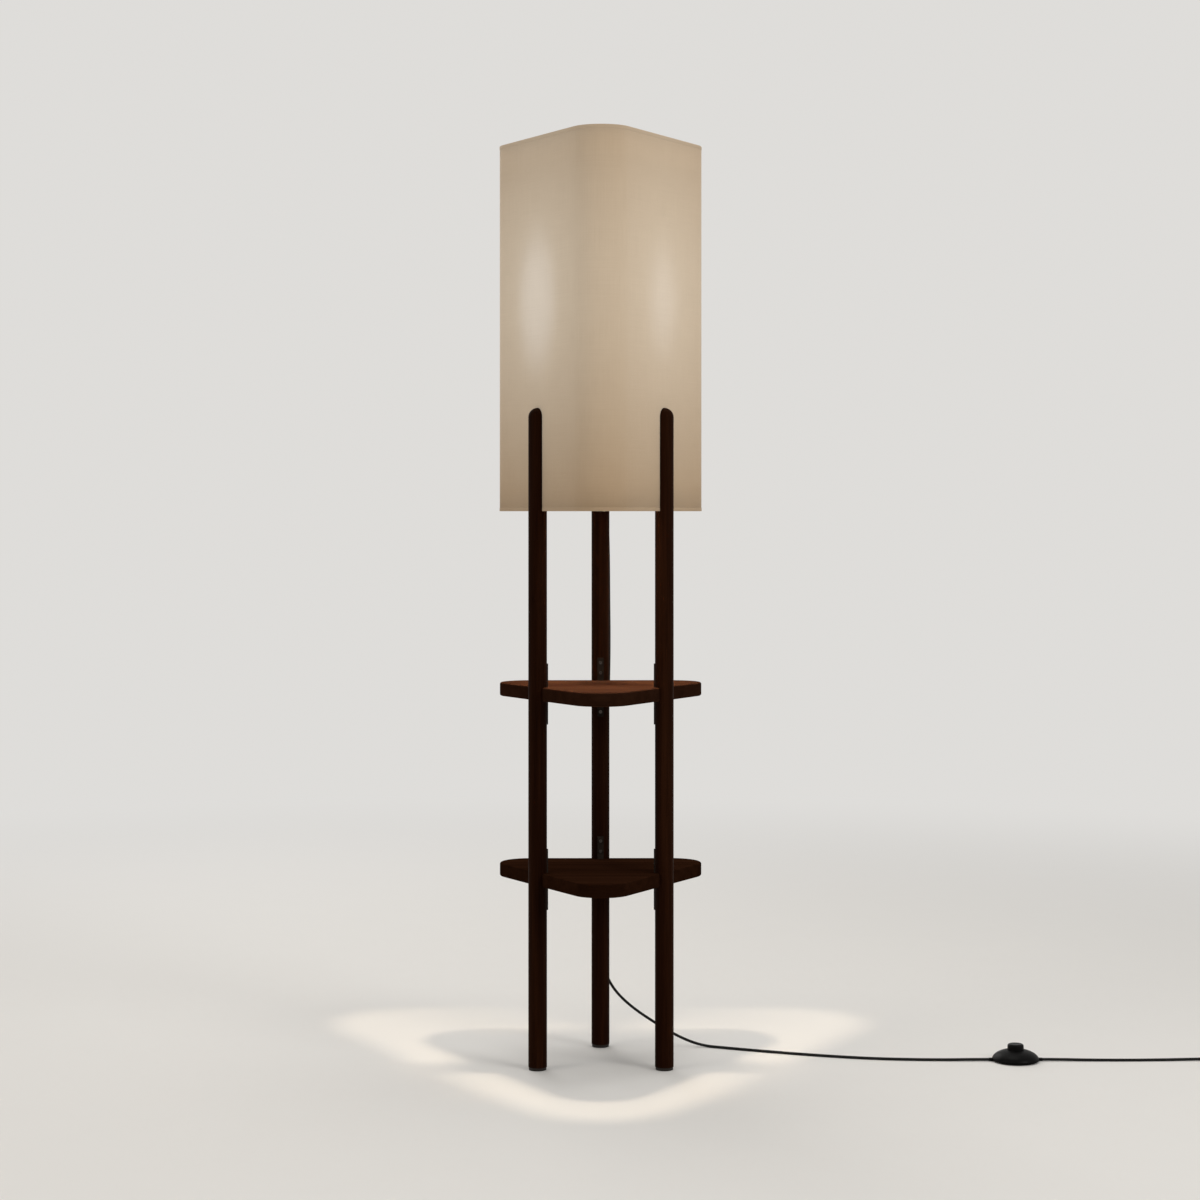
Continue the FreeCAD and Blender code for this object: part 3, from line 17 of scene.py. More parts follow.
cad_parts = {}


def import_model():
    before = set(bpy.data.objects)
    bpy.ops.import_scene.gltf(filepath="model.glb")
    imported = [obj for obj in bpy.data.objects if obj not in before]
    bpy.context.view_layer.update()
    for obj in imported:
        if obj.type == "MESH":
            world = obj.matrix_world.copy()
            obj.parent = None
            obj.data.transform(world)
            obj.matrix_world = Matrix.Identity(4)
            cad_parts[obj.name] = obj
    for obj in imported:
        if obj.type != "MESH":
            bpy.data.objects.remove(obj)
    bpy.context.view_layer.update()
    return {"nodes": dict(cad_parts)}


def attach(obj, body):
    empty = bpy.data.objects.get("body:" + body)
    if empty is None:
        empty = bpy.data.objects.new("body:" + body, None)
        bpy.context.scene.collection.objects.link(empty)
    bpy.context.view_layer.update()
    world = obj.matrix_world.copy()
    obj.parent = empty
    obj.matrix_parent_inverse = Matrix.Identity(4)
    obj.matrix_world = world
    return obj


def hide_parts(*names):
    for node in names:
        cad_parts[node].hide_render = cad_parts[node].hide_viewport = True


Colour = tuple[float, float, float]
Point = tuple[float, float, float]
Section = Sequence[tuple[float, float]]
Stain = tuple[Colour, Colour, Colour]
Input = Any
Socket = bpy.types.NodeSocket
Node = bpy.types.Node
Material = bpy.types.Material
Coats = Mapping[str, Material]
Piece = bpy.types.Object
Mesh = bmesh.types.BMesh

LOG = logging.getLogger("floor_lamp")
AXIS = Vector((0.0, 0.023757, 0.0))
UP = Vector((0.0, 0.0, 1.0))
AWAY = Vector((0.0, 1.0, 0.0))
ORIGIN: Point = (0.0, 0.0, 0.0)
BLACK: Colour = (0.0, 0.0, 0.0)
WELD = 1e-6

# Where the bulb is, and where its broad glow and its bright spot on the cloth have their middles
BULB_MIDDLE: Point = (0.0, AXIS.y, 1.244)
GLOW_MIDDLE: Point = (0.0, AXIS.y, 1.262)
SPOT_MIDDLE: Point = (-0.005, AXIS.y, 1.236)

# Darkest, middle and lightest stain of the posts and of each shelf; the upper shelf's is lighter as
# painted light from the bulb, the lower's darker as painted shade under the upper shelf
POST_STAIN: Stain = ((0.0044, 0.0012, 0.0005), (0.0128, 0.0038, 0.0015), (0.0310, 0.0102, 0.0042))
UPPER_STAIN_PAINTED_LIT: Stain = ((0.0250, 0.0093, 0.0048), (0.0430, 0.0166, 0.0088), (0.0640, 0.0258, 0.0140))
LOWER_STAIN_PAINTED_SHADE: Stain = ((0.0120, 0.0040, 0.0018), (0.0240, 0.0086, 0.0040), (0.0400, 0.0150, 0.0072))


class Along(Enum):
    """Which way a finish's grain or brushing runs, as the turn that brings it to Z."""

    X = (0.0, math.pi / 2, 0.0)
    Y = (math.pi / 2, 0.0, 0.0)
    Z = (0.0, 0.0, 0.0)


class Body(Enum):
    """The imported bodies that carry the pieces."""

    LAMP = "lamp"
    BUTTON = "foot_button"


class Graph:
    """Adds nodes to a shader tree in short calls.

    Args:
        tree: A material's, the world's or a group's node tree.
    """

    def __init__(self, tree: bpy.types.NodeTree) -> None:
        """Takes the tree that it fills."""
        self.tree = tree

    def plug(self, socket: Socket, value: Input) -> None:
        """Links or sets one socket.

        Args:
            socket: The socket to fill.
            value: Another node's output, or a number, vector or colour.
        """
        if isinstance(value, Socket):
            self.tree.links.new(value, socket)
        elif isinstance(value, tuple) and socket.type == "RGBA":
            socket.default_value = (*value, 1.0)
        else:
            socket.default_value = value

    def node(
        self, kind: str, inputs: Mapping[str | int, Input] | None = None, **settings: Any
    ) -> Node:
        """Adds one node.

        Args:
            kind: The node's type, without its ShaderNode start.
            inputs: What goes into its sockets, by name or number.
            **settings: Its other properties.

        Returns:
            The new node.
        """
        made = self.tree.nodes.new("ShaderNode" + kind)
        for name, value in settings.items():
            setattr(made, name, value)
        for name, value in (inputs or {}).items():
            self.plug(made.inputs[name], value)
        return made

    def math(self, operation: str, *values: Input) -> Socket:
        """One sum of one, two or three values."""
        return self.node("Math", dict(enumerate(values)), operation=operation).outputs[0]

    def times(self, first: Input, second: Input) -> Socket:
        """The product of two values."""
        return self.math("MULTIPLY", first, second)

    def weighted(self, *parts: tuple[Input, Input], start: Input = 0.0) -> Socket:
        """Adds values up by weight.

        Args:
            *parts: Each value and its weight.
            start: What they are added to.

        Returns:
            The total.
        """
        for value, weight in parts:
            start = self.math("MULTIPLY_ADD", value, weight, start)
        return start

    def vector(self, operation: str, *values: Input) -> Socket:
        """One sum of vectors."""
        return self.node("VectorMath", dict(enumerate(values)), operation=operation).outputs[0]

    def scaled(self, vector: Input, factor: Input) -> Socket:
        """A vector times a number."""
        return self.node("VectorMath", {0: vector, 3: factor}, operation="SCALE").outputs[0]

    def length(self, vector: Input) -> Socket:
        """A vector's length."""
        return self.node("VectorMath", {0: vector}, operation="LENGTH").outputs["Value"]

    def ranged(
        self, value: Input, low: float, high: float, to_low: float = 0.0, to_high: float = 1.0
    ) -> Socket:
        """Maps a value from one range to another, held at its ends."""
        ends = {"From Min": low, "From Max": high, "To Min": to_low, "To Max": to_high}
        return self.node("MapRange", {"Value": value, **ends}).outputs["Result"]

    def mixed(self, share: Input, first: Input, second: Input, blend: str = "MIX") -> Socket:
        """Mixes two colours, with a share of the second."""
        colours = {0: share, 6: first, 7: second}
        return self.node("Mix", colours, data_type="RGBA", blend_type=blend).outputs[2]

    def noise(
        self, vector: Input, rate: float, detail: float = 3.0, roughness: float = 0.5
    ) -> Socket:
        """Even noise from 0 to 1, at a rate per metre."""
        places = {"Vector": vector, "Scale": rate, "Detail": detail, "Roughness": roughness}
        return self.node("TexNoise", places).outputs["Fac"]

    def stretched(
        self, vector: Input, factors: Point, turn: Point = ORIGIN, shift: Point = ORIGIN
    ) -> Socket:
        """Coordinates that are stretched, turned and moved."""
        places = {"Vector": vector, "Scale": factors, "Rotation": turn, "Location": shift}
        return self.node("Mapping", places).outputs["Vector"]

    def streaks(self, vector: Input, rates: Point, detail: float, roughness: float = 0.5) -> Socket:
        """Noise with a rate of its own along each axis."""
        return self.noise(self.stretched(vector, rates), 1.0, detail, roughness)

    def ramp(self, value: Input, stops: Sequence[tuple[float, Colour]]) -> Socket:
        """Colours along a value.

        Args:
            value: From 0 to 1.
            stops: Places and their colours.

        Returns:
            The colour.
        """
        made = self.node("ValToRGB", {"Fac": value})
        band = made.color_ramp.elements
        while len(band) < len(stops):
            band.new(1.0)
        for element, (place, colour) in zip(band, stops):
            element.position = place
            element.color = (*colour, 1.0)
        return made.outputs["Color"]

    def bump(self, height: Input, distance: float, strength: float) -> Socket:
        """A normal from a height whose 1 is a distance in metres."""
        places = {"Height": height, "Distance": distance, "Strength": strength}
        return self.node("Bump", places).outputs["Normal"]

    def end_mixed(self, output: str, share: Input, first: Node, second: Node) -> None:
        """Ends the tree in a mix of two shaders, with a share of the second."""
        both = self.node("MixShader", {0: share, 1: first.outputs[0], 2: second.outputs[0]})
        self.node(output, {"Surface": both.outputs[0]})


def emptied(owner: Material | bpy.types.World) -> Graph:
    """Gives a material or a world an empty node tree.

    Args:
        owner: The material or world.

    Returns:
        Its graph.
    """
    owner.use_nodes = True
    owner.node_tree.nodes.clear()
    return Graph(owner.node_tree)


class SharedGroup(Graph):
    """A shader node group that several finishes place with values of their own."""

    def __init__(
        self, name: str, inputs: Mapping[str, float | None], outputs: Sequence[str]
    ) -> None:
        """Makes the group with its sockets.

        Args:
            name: The group's name.
            inputs: Its inputs' plain values by name, None for a place.
            outputs: Its outputs' names.
        """
        super().__init__(bpy.data.node_groups.new(name, "ShaderNodeTree"))
        new_socket = self.tree.interface.new_socket
        for label, plain in inputs.items():
            kind = "NodeSocketVector" if plain is None else "NodeSocketFloat"
            socket = new_socket(label, in_out="INPUT", socket_type=kind)
            if plain is not None:
                socket.default_value = plain
        for label in outputs:
            new_socket(label, in_out="OUTPUT", socket_type="NodeSocketFloat")
        self.start = self.tree.nodes.new("NodeGroupInput")
        self.end = self.tree.nodes.new("NodeGroupOutput")

    def given(self, label: str) -> Socket:
        """One of the group's inputs."""
        return self.start.outputs[label]

    def give(self, **values: Socket) -> None:
        """Sends values out of the group, by name."""
        for label, value in values.items():
            self.plug(self.end.inputs[label], value)


def make_grain() -> SharedGroup:
    """Wood grain that runs along Z of the coordinates that it is given.

    Returns:
        The group, with a tone, a pore height and a gloss mask.
    """
    group = SharedGroup(
        "wood_grain", {"Vector": None, "Figure": 1.0, "Pores": 1.0}, ("Tone", "Height", "Gloss")
    )
    here = group.given("Vector")
    wander = group.streaks(here, (9.0, 9.0, 1.1), 3.0)
    sway = group.node("CombineXYZ", {0: wander, 1: wander}).outputs[0]
    bent = group.vector("MULTIPLY_ADD", sway, (0.02, 0.015, 0.0), here)
    rings = group.streaks(bent, (70.0, 70.0, 1.6), 4.0, 0.62)
    figure = group.times(group.math("SUBTRACT", rings, 0.5), group.given("Figure"))
    broad = group.streaks(here, (14.0, 14.0, 0.9), 2.0)
    fine = group.streaks(here, (420.0, 420.0, 9.0), 3.0, 0.6)
    pores = group.streaks(here, (1500.0, 1500.0, 34.0), 2.0)
    pits = group.times(group.ranged(pores, 0.56, 0.66), group.given("Pores"))
    group.give(
        Tone=group.weighted((figure, 1.25), (broad, 0.55), (fine, 0.32), (pits, -0.1)),
        Height=group.weighted((fine, 0.35), (pits, -1.0)),
        Gloss=group.weighted((pits, 0.16), (broad, 0.12)),
    )
    return group


def make_brushing() -> SharedGroup:
    """Fine lines along Z of the given coordinates, as brushing or drawing leaves on metal.

    Returns:
        The group, with a height and a roughness mask.
    """
    group = SharedGroup("brushing", {"Vector": None, "Fineness": 1.0}, ("Height", "Mask"))
    finer = group.scaled(group.given("Vector"), group.given("Fineness"))
    lines = group.streaks(finer, (2600.0, 2600.0, 26.0), 3.0, 0.6)
    cloud = group.noise(finer, 60.0)
    group.give(Height=lines, Mask=group.weighted((lines, 0.5), (cloud, 0.5)))
    return group


def make_handling() -> SharedGroup:
    """Soft smudges and sparse fine specks, as handling and dust leave.

    Returns:
        The group, with a smudge mask and a speck mask.
    """
    group = SharedGroup("handling", {"Vector": None, "Size": 0.03}, ("Smudge", "Specks"))
    sized = group.scaled(group.given("Vector"), group.math("DIVIDE", 1.0, group.given("Size")))
    group.give(
        Smudge=group.ranged(group.noise(sized, 1.0, 4.0, 0.55), 0.35, 0.72),
        Specks=group.ranged(group.noise(sized, 34.0, 1.0, 0.4), 0.68, 0.76),
    )
    return group


def make_moulding() -> SharedGroup:
    """The fine leather-like texture of a moulded plastic or rubber face.

    Returns:
        The group, with a height.
    """
    group = SharedGroup("moulding", {"Vector": None, "Pitch": 0.0006}, ("Height",))
    sized = group.scaled(group.given("Vector"), group.math("DIVIDE", 1.0, group.given("Pitch")))
    cells = group.node("TexVoronoi", {"Vector": sized, "Scale": 1.0}, feature="SMOOTH_F1")
    fine = group.noise(sized, 2.2, 2.0)
    group.give(Height=group.weighted((cells.outputs["Distance"], 0.7), (fine, 0.3)))
    return group


def make_weave() -> SharedGroup:
    """A plain weave on coordinates that run across and up the cloth, in metres.

    Returns:
        The group, with the threads' height, their tone and the thicker threads' mask.
    """
    group = SharedGroup(
        "plain_weave", {"Vector": None, "Pitch": 0.0006}, ("Height", "Tone", "Slubs")
    )
    here, pitch = group.given("Vector"), group.given("Pitch")
    apart = group.node("SeparateXYZ", {0: here}).outputs
    steps = [group.math("DIVIDE", apart[axis], pitch) for axis in "XY"]
    waves = [group.math("ABSOLUTE", group.math("SINE", group.times(s, math.pi))) for s in steps]
    both = group.math("ADD", *(group.math("FLOOR", step) for step in steps))
    over = group.math("PINGPONG", both, 1.0)
    under = group.math("SUBTRACT", 1.0, over)
    warp = group.streaks(here, (900.0, 14.0, 1.0), 2.0)
    weft = group.streaks(here, (11.0, 900.0, 1.0), 2.0)
    cloud = group.streaks(here, (26.0, 26.0, 1.0), 3.0)
    group.give(
        Height=group.weighted((waves[0], over), (waves[1], under)),
        Tone=group.weighted((warp, 0.375), (weft, 0.375), (cloud, 0.25)),
        Slubs=group.ranged(group.math("MAXIMUM", warp, weft), 0.62, 0.78),
    )
    return group


def make_glow() -> SharedGroup:
    """How brightly the bulb shows through the shade, by the distance to it.

    Returns:
        The group, with a broad glow and a bright upright oval, both 1 at the nearest wall.
    """
    plain = {"Near": 0.12, "Far": 0.36, "Falloff": 1.4, "Slim": 1.8, "Width": 0.0265}
    group = SharedGroup("bulb_glow", {"Vector": None, "Bulb": None, **plain}, ("Glow", "Spot"))
    near, far, slim = (group.given(label) for label in ("Near", "Far", "Slim"))
    way = group.vector("SUBTRACT", group.given("Vector"), group.given("Bulb"))
    depth = group.math("SUBTRACT", far, near)
    share = group.math("DIVIDE", group.math("SUBTRACT", far, group.length(way)), depth)
    held = group.math("MINIMUM", group.math("MAXIMUM", share, 0.0), 1.0)
    squeeze = group.node("CombineXYZ", {0: slim, 1: slim, 2: 1.0}).outputs[0]
    reach = group.length(group.vector("MULTIPLY", way, squeeze))
    gap = group.math("SUBTRACT", reach, group.times(near, slim))
    past = group.math("DIVIDE", gap, group.given("Width"))
    group.give(
        Glow=group.math("POWER", held, group.given("Falloff")),
        Spot=group.math("EXPONENT", group.times(group.times(past, past), -1.0)),
    )
    return group


class Groups:
    """The shared shader groups, each built once."""

    def __init__(self) -> None:
        """Builds the groups in order."""
        self.grain = make_grain()
        self.brushing = make_brushing()
        self.handling = make_handling()
        self.moulding = make_moulding()
        self.weave = make_weave()
        self.glow = make_glow()


class Coat(Graph):
    """A material in the making."""

    def __init__(self, name: str, groups: Groups) -> None:
        """Starts the material with a Principled node and its output.

        Args:
            name: The material's name.
            groups: The shared shader groups.
        """
        self.material = bpy.data.materials.new(name)
        super().__init__(emptied(self.material).tree)
        self.groups = groups
        self.surface = self.node("BsdfPrincipled")
        self.node("OutputMaterial", {"Surface": self.surface.outputs["BSDF"]})
        self.coordinates = self.node("TexCoord").outputs
        self.place = self.coordinates["Object"]

    def placed(self, group: SharedGroup, **inputs: Input) -> Mapping[str, Socket]:
        """Places a shared group on Object coordinates, or on others that the inputs name."""
        return self.node("Group", {"Vector": self.place, **inputs}, node_tree=group.tree).outputs

    def smudge(self, size: float) -> Socket:
        """The smudges that handling leaves, of a size."""
        return self.placed(self.groups.handling, Size=size)["Smudge"]

    def fill(self, inputs: Mapping[str, Input]) -> None:
        """Fills sockets of the Principled node, by name."""
        for label, value in inputs.items():
            self.plug(self.surface.inputs[label], value)


@dataclass(frozen=True)
class Finish:
    """A finish that can be made into a material.

    Args:
        name: The material's name.
    """

    name: str

    def material(self, groups: Groups) -> Material:
        """Makes the material.

        Args:
            groups: The shared shader groups.

        Returns:
            The material.
        """
        coat = Coat(self.name, groups)
        self.lay(coat)
        return coat.material

    def lay(self, coat: Coat) -> None:
        """Gives the material its nodes; each kind of finish has its own way."""
        raise NotImplementedError


@dataclass(frozen=True)
class Walnut(Finish):
    """Dark stained open-grained wood under a thin satin lacquer.

    Args:
        along: Which way the grain runs.
        shift: Where in the board the piece was cut.
        shine: Strength of the lacquer's reflection.
        stain: Darkest, middle and lightest colour of the stain.
        edges: Share of the stain's brightness kept on upright faces: painted shade on a board's
            sides, so that its top and underside read as lit.
        stops: Where on the grain's tone those colours are.
        warmth: Tint of the lacquer's reflection.
    """

    along: Along = Along.Z
    shift: Point = ORIGIN
    shine: float = 0.015
    stain: Stain = POST_STAIN
    edges: float = 1.0
    stops: tuple[float, float, float] = (0.14, 0.42, 0.82)
    warmth: Colour = (1.0, 0.72, 0.50)

    def lay(self, coat: Coat) -> None:
        """Lays stain and lacquer over the grain.

        Args:
            coat: The material in the making.
        """
        board = coat.stretched(coat.place, (1.0, 1.0, 1.0), self.along.value, self.shift)
        grain = coat.placed(coat.groups.grain, Vector=board, Figure=0.6, Pores=1.0)
        stain = coat.ramp(grain["Tone"], tuple(zip(self.stops, self.stain)))
        # Upright faces are darkened by the edges share as painted shade, so that tops and
        # undersides read as lit.
        normal = coat.node("NewGeometry").outputs["Normal"]
        level = coat.math("ABSOLUTE", coat.node("SeparateXYZ", {0: normal}).outputs["Z"])
        painted_side_shade = coat.ranged(level, 0.5, 0.95, self.edges, 1.0)
        uneven = ((grain["Gloss"], 1.0), (coat.smudge(0.05), 0.06))
        coat.fill({
            "Base Color": coat.scaled(stain, painted_side_shade),
            "Roughness": coat.weighted(*uneven, start=0.42),
            "Normal": coat.bump(grain["Height"], 0.0001, 0.35),
            "Specular IOR Level": self.shine,
            "Specular Tint": self.warmth,
        })


@dataclass(frozen=True)
class Metal(Finish):
    """Bare, plated or coated metal.

    Args:
        colour: Its colour.
        worn: Colour where it is rubbed.
        roughness: Its mean roughness.
        along: Which way it is brushed.
        fineness: How fine the brushing is.
        relief: Depth of the brushing.
        metallic: 1 for bare metal, lower under a coat.
        specular: Strength of its coat's reflection.
    """

    colour: Colour
    worn: Colour
    roughness: float
    along: Along = Along.Z
    fineness: float = 1.0
    relief: float = 0.00001
    metallic: float = 1.0
    specular: float = 0.5

    def lay(self, coat: Coat) -> None:
        """Brushes the metal and rubs it a little.

        Args:
            coat: The material in the making.
        """
        turned = coat.stretched(coat.place, (1.0, 1.0, 1.0), self.along.value)
        lines = coat.placed(coat.groups.brushing, Vector=turned, Fineness=self.fineness)
        smudge = coat.smudge(0.012)
        uneven = ((lines["Mask"], 0.18), (smudge, 0.08))
        coat.fill({
            "Base Color": coat.mixed(coat.times(smudge, lines["Mask"]), self.colour, self.worn),
            "Roughness": coat.weighted(*uneven, start=self.roughness - 0.09),
            "Normal": coat.bump(lines["Height"], self.relief, 0.7),
            "Metallic": self.metallic,
            "Specular IOR Level": self.specular,
        })


@dataclass(frozen=True)
class Moulded(Finish):
    """Moulded plastic or rubber.

    Args:
        colour: Its colour.
        scuffed: Colour where it is scuffed or dusty.
        roughness: Its mean roughness.
        pitch: Size of its surface texture.
        relief: Depth of its surface texture.
        sheen: How much a soft surface lightens at grazing angles.
        specular: Strength of its reflection.
    """

    colour: Colour
    scuffed: Colour
    roughness: float
    pitch: float
    relief: float = 0.00002
    sheen: float = 0.0
    specular: float = 0.5

    def lay(self, coat: Coat) -> None:
        """Textures the plastic and scuffs it a little.

        Args:
            coat: The material in the making.
        """
        skin = coat.placed(coat.groups.moulding, Pitch=self.pitch)
        marks = coat.placed(coat.groups.handling, Size=0.02)
        scuffs = coat.weighted((marks["Specks"], 0.35), (marks["Smudge"], 0.18))
        coat.fill({
            "Base Color": coat.mixed(scuffs, self.colour, self.scuffed),
            "Roughness": coat.weighted((marks["Smudge"], 0.12), start=self.roughness - 0.05),
            "Normal": coat.bump(skin["Height"], self.relief, 0.8),
            "Sheen Weight": self.sheen,
            "Specular IOR Level": self.specular,
        })


@dataclass(frozen=True)
class Cloth(Finish):
    """Cream lampshade cloth, lit from behind by the bulb.

    Args:
        colour: The cloth's own colour.
        deep: Colour of its darker threads.
        through: Share of the light that comes through, lower where the cloth is folded.
        glow: Light that spreads through it nearest the bulb.
        spot: Light that is added in the bright spot beside the bulb.
        pitch: Distance between its threads.
    """

    colour: Colour = (0.420, 0.290, 0.172)
    deep: Colour = (0.362, 0.241, 0.137)
    through: float = 1.0
    glow: Colour = (0.268, 0.265, 0.231)
    spot: Colour = (0.090, 0.100, 0.114)
    pitch: float = 0.00055

    def lay(self, coat: Coat) -> None:
        """Weaves the cloth and lets the bulb shine through it.

        Args:
            coat: The material in the making.
        """
        weave = coat.placed(coat.groups.weave, Vector=coat.coordinates["UV"], Pitch=self.pitch)
        reach = {"Bulb": GLOW_MIDDLE, "Near": 0.117, "Far": 0.440, "Falloff": 1.12}
        broad = coat.placed(coat.groups.glow, **reach)["Glow"]
        beside = coat.placed(coat.groups.glow, Bulb=SPOT_MIDDLE, Near=0.1127)["Spot"]
        dim, clear = 0.92 * self.through, 1.05 * self.through
        threads = coat.ranged(weave["Tone"], 0.3, 0.7, dim, clear)
        spread = coat.mixed(coat.times(broad, threads), BLACK, self.glow)
        bright = coat.mixed(coat.times(beside, threads), BLACK, self.spot)
        colour = coat.mixed(weave["Tone"], self.deep, self.colour)
        coat.fill({
            "Base Color": coat.mixed(coat.times(weave["Slubs"], 0.18), colour, self.colour),
            "Emission Color": coat.mixed(1.0, spread, bright, "ADD"),
            "Emission Strength": 1.0,
            "Roughness": 0.92,
            "Sheen Weight": 0.12,
            "Sheen Roughness": 0.5,
            "Specular IOR Level": 0.2,
            "Normal": coat.bump(weave["Height"], 0.00012, 0.5),
        })


@dataclass(frozen=True)
class Backing(Finish):
    """The shade's smooth white inner face, lit by the bulb.

    Args:
        colour: Its colour.
        soiled: Colour where it is smudged.
        glow: Extra light nearest the bulb.
        far_glow: Extra light far from the bulb.
    """

    colour: Colour = (0.60, 0.555, 0.48)
    soiled: Colour = (0.52, 0.46, 0.38)
    glow: Colour = (0.20, 0.165, 0.110)
    far_glow: Colour = (0.050, 0.041, 0.028)

    def lay(self, coat: Coat) -> None:
        """Lights the backing and smudges it a little.

        Args:
            coat: The material in the making.
        """
        reach = {"Bulb": BULB_MIDDLE, "Near": 0.112, "Far": 0.42, "Falloff": 1.6}
        lit = coat.placed(coat.groups.glow, **reach)["Glow"]
        smudge = coat.smudge(0.09)
        coat.fill({
            "Base Color": coat.mixed(coat.times(smudge, 0.1), self.colour, self.soiled),
            "Emission Color": coat.mixed(lit, self.far_glow, self.glow),
            "Emission Strength": 1.0,
            "Roughness": coat.weighted((smudge, 0.1), start=0.55),
        })


@dataclass(frozen=True)
class LitGlass(Finish):
    """The frosted bulb while it burns.

    Args:
        colour: The frosted glass.
        glow: The light's colour.
        strength: How strongly it burns.
        edge: Share of the glow at the glass's far parts.
    """

    colour: Colour = (0.9, 0.87, 0.8)
    glow: Colour = (1.0, 0.86, 0.62)
    strength: float = 5.0
    edge: float = 0.45

    def lay(self, coat: Coat) -> None:
        """Lights the frosted glass from its middle.

        Args:
            coat: The material in the making.
        """
        reach = {"Bulb": BULB_MIDDLE, "Near": 0.02, "Far": 0.07, "Falloff": 1.0}
        lit = coat.placed(coat.groups.glow, **reach)["Glow"]
        frost = coat.placed(coat.groups.moulding, Pitch=0.0007)
        cooler = tuple(self.edge * part for part in self.glow)
        coat.fill({
            "Base Color": self.colour,
            "Emission Color": coat.mixed(lit, cooler, self.glow),
            "Emission Strength": self.strength,
            "Roughness": 0.35,
            "Normal": coat.bump(frost["Height"], 0.00002, 0.5),
        })


FINISHES: tuple[Finish, ...] = (
    Walnut("walnut_post_back", Along.Z, (0.31, 0.12, 0.4)),
    Walnut("walnut_post_left", Along.Z, (1.17, 0.72, 1.9)),
    Walnut("walnut_post_right", Along.Z, (2.63, 1.41, 3.1)),
    # The two shelves are lit and shaded copies of one walnut: painted light on the upper, painted
    # shade on the lower.
    Walnut("walnut_shelf_upper_painted_lit", Along.X, (0.45, 0.9, 0.2), 0.0, UPPER_STAIN_PAINTED_LIT, 0.42),
    Walnut("walnut_shelf_lower_painted_shade", Along.X, (1.9, 2.7, 1.3), 0.0, LOWER_STAIN_PAINTED_SHADE, 0.6),
    Metal("bronzed_strap", (0.013, 0.0085, 0.0062), (0.040, 0.029, 0.022), 0.6,
          relief=0.00003, metallic=0.3, specular=0.06),
    Metal("bright_screw", (0.060, 0.050, 0.044), (0.15, 0.130, 0.115), 0.32, Along.X, 1.4),
    Metal("plated_stem", (0.52, 0.51, 0.48), (0.66, 0.65, 0.61), 0.3, Along.X, 1.2),
    Metal("white_coated_wire", (0.74, 0.71, 0.65), (0.80, 0.78, 0.73), 0.42,
          fineness=0.6, relief=0.00002, metallic=0.0),
    Metal("brass_contacts", (0.60, 0.42, 0.16), (0.74, 0.58, 0.28), 0.3),
    Metal("rolled_base", (0.72, 0.71, 0.69), (0.84, 0.83, 0.81), 0.26, Along.X, 1.2),
    Metal("spring_wire", (0.55, 0.55, 0.54), (0.7, 0.7, 0.69), 0.28, Along.X, 1.5),
    Metal("nickel_pin", (0.66, 0.62, 0.52), (0.80, 0.77, 0.68), 0.2, Along.Y, 1.4),
    Moulded("glide_plastic", (0.009, 0.0065, 0.005), (0.03, 0.026, 0.022), 0.5, 0.0008,
            0.00003, specular=0.25),
    Moulded("holder_plastic", (0.028, 0.027, 0.026), (0.07, 0.068, 0.065), 0.32, 0.0009),
    Moulded("white_ceramic", (0.80, 0.78, 0.73), (0.68, 0.64, 0.57), 0.18, 0.004),
    Moulded("switch_plastic", (0.0026, 0.0025, 0.0024), (0.0075, 0.0073, 0.0071), 0.42, 0.0007,
            0.00004, specular=0.05),
    Moulded("button_plastic", (0.0026, 0.0025, 0.0024), (0.0085, 0.0082, 0.0080), 0.36, 0.0005,
            specular=0.05),
    Moulded("pad_rubber", (0.014, 0.014, 0.013), (0.07, 0.065, 0.06), 0.8, 0.0012, 0.00008, 0.1),
    Moulded("works_plastic", (0.62, 0.58, 0.50), (0.5, 0.46, 0.39), 0.4, 0.001),
    Moulded("cord_rubber", (0.0058, 0.0056, 0.0054), (0.016, 0.0155, 0.015), 0.52, 0.0005,
            0.00003, specular=0.14),
    Moulded("clip_plastic", (0.014, 0.014, 0.013), (0.05, 0.049, 0.046), 0.4, 0.0006),
    Moulded("tie_cloth", (0.0075, 0.0075, 0.008), (0.026, 0.026, 0.027), 0.85, 0.0005,
            0.00012, 0.05, 0.15),
    Moulded("plug_plastic", (0.0070, 0.0068, 0.0066), (0.022, 0.021, 0.020), 0.44, 0.0006,
            0.00004, specular=0.2),
    Cloth("shade_cloth"),
    Cloth("shade_hem", (0.402, 0.282, 0.171), (0.345, 0.233, 0.137), 0.98),
    Backing("shade_backing"),
    LitGlass("lit_frosted_glass"),
)


def linked(name: str, data: bpy.types.ID) -> Piece:
    """Puts a mesh, curve, lamp or camera into the scene as an object at the origin.

    Args:
        name: The object's name.
        data: What it shows.

    Returns:
        The new object.
    """
    made = bpy.data.objects.new(name, data)
    bpy.context.scene.collection.objects.link(made)
    return made


def finished(name: str, mesh: Mesh, materials: Sequence[Material], sharp: float = 35.0) -> Piece:
    """Turns a bmesh into an object of the scene at the origin.

    Args:
        name: The piece's name.
        mesh: The bmesh, freed here.
        materials: Its materials, by index.
        sharp: Edges that turn by more degrees than this stay crisp.

    Returns:
        The new object.
    """
    data = bpy.data.meshes.new(name)
    mesh.to_mesh(data)
    mesh.free()
    data.shade_smooth()
    data.set_sharp_from_angle(angle=math.radians(sharp))
    for material in materials:
        data.materials.append(material)
    return linked(name, data)


def set_down(
    piece: Piece, replaced: Iterable[str] = (), body: Body = Body.LAMP
) -> Piece:
    """Says which body a piece rides on and what it replaces.

    Args:
        piece: The piece.
        replaced: The solids that it stands for.
        body: The body that carries it.

    Returns:
        The piece.
    """
    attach(piece, body.value)
    nodes = list(replaced)
    if nodes:
        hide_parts(*nodes)
    LOG.info("piece %s rides on %s and stands for %s", piece.name, body.value, nodes or "nothing")
    return piece


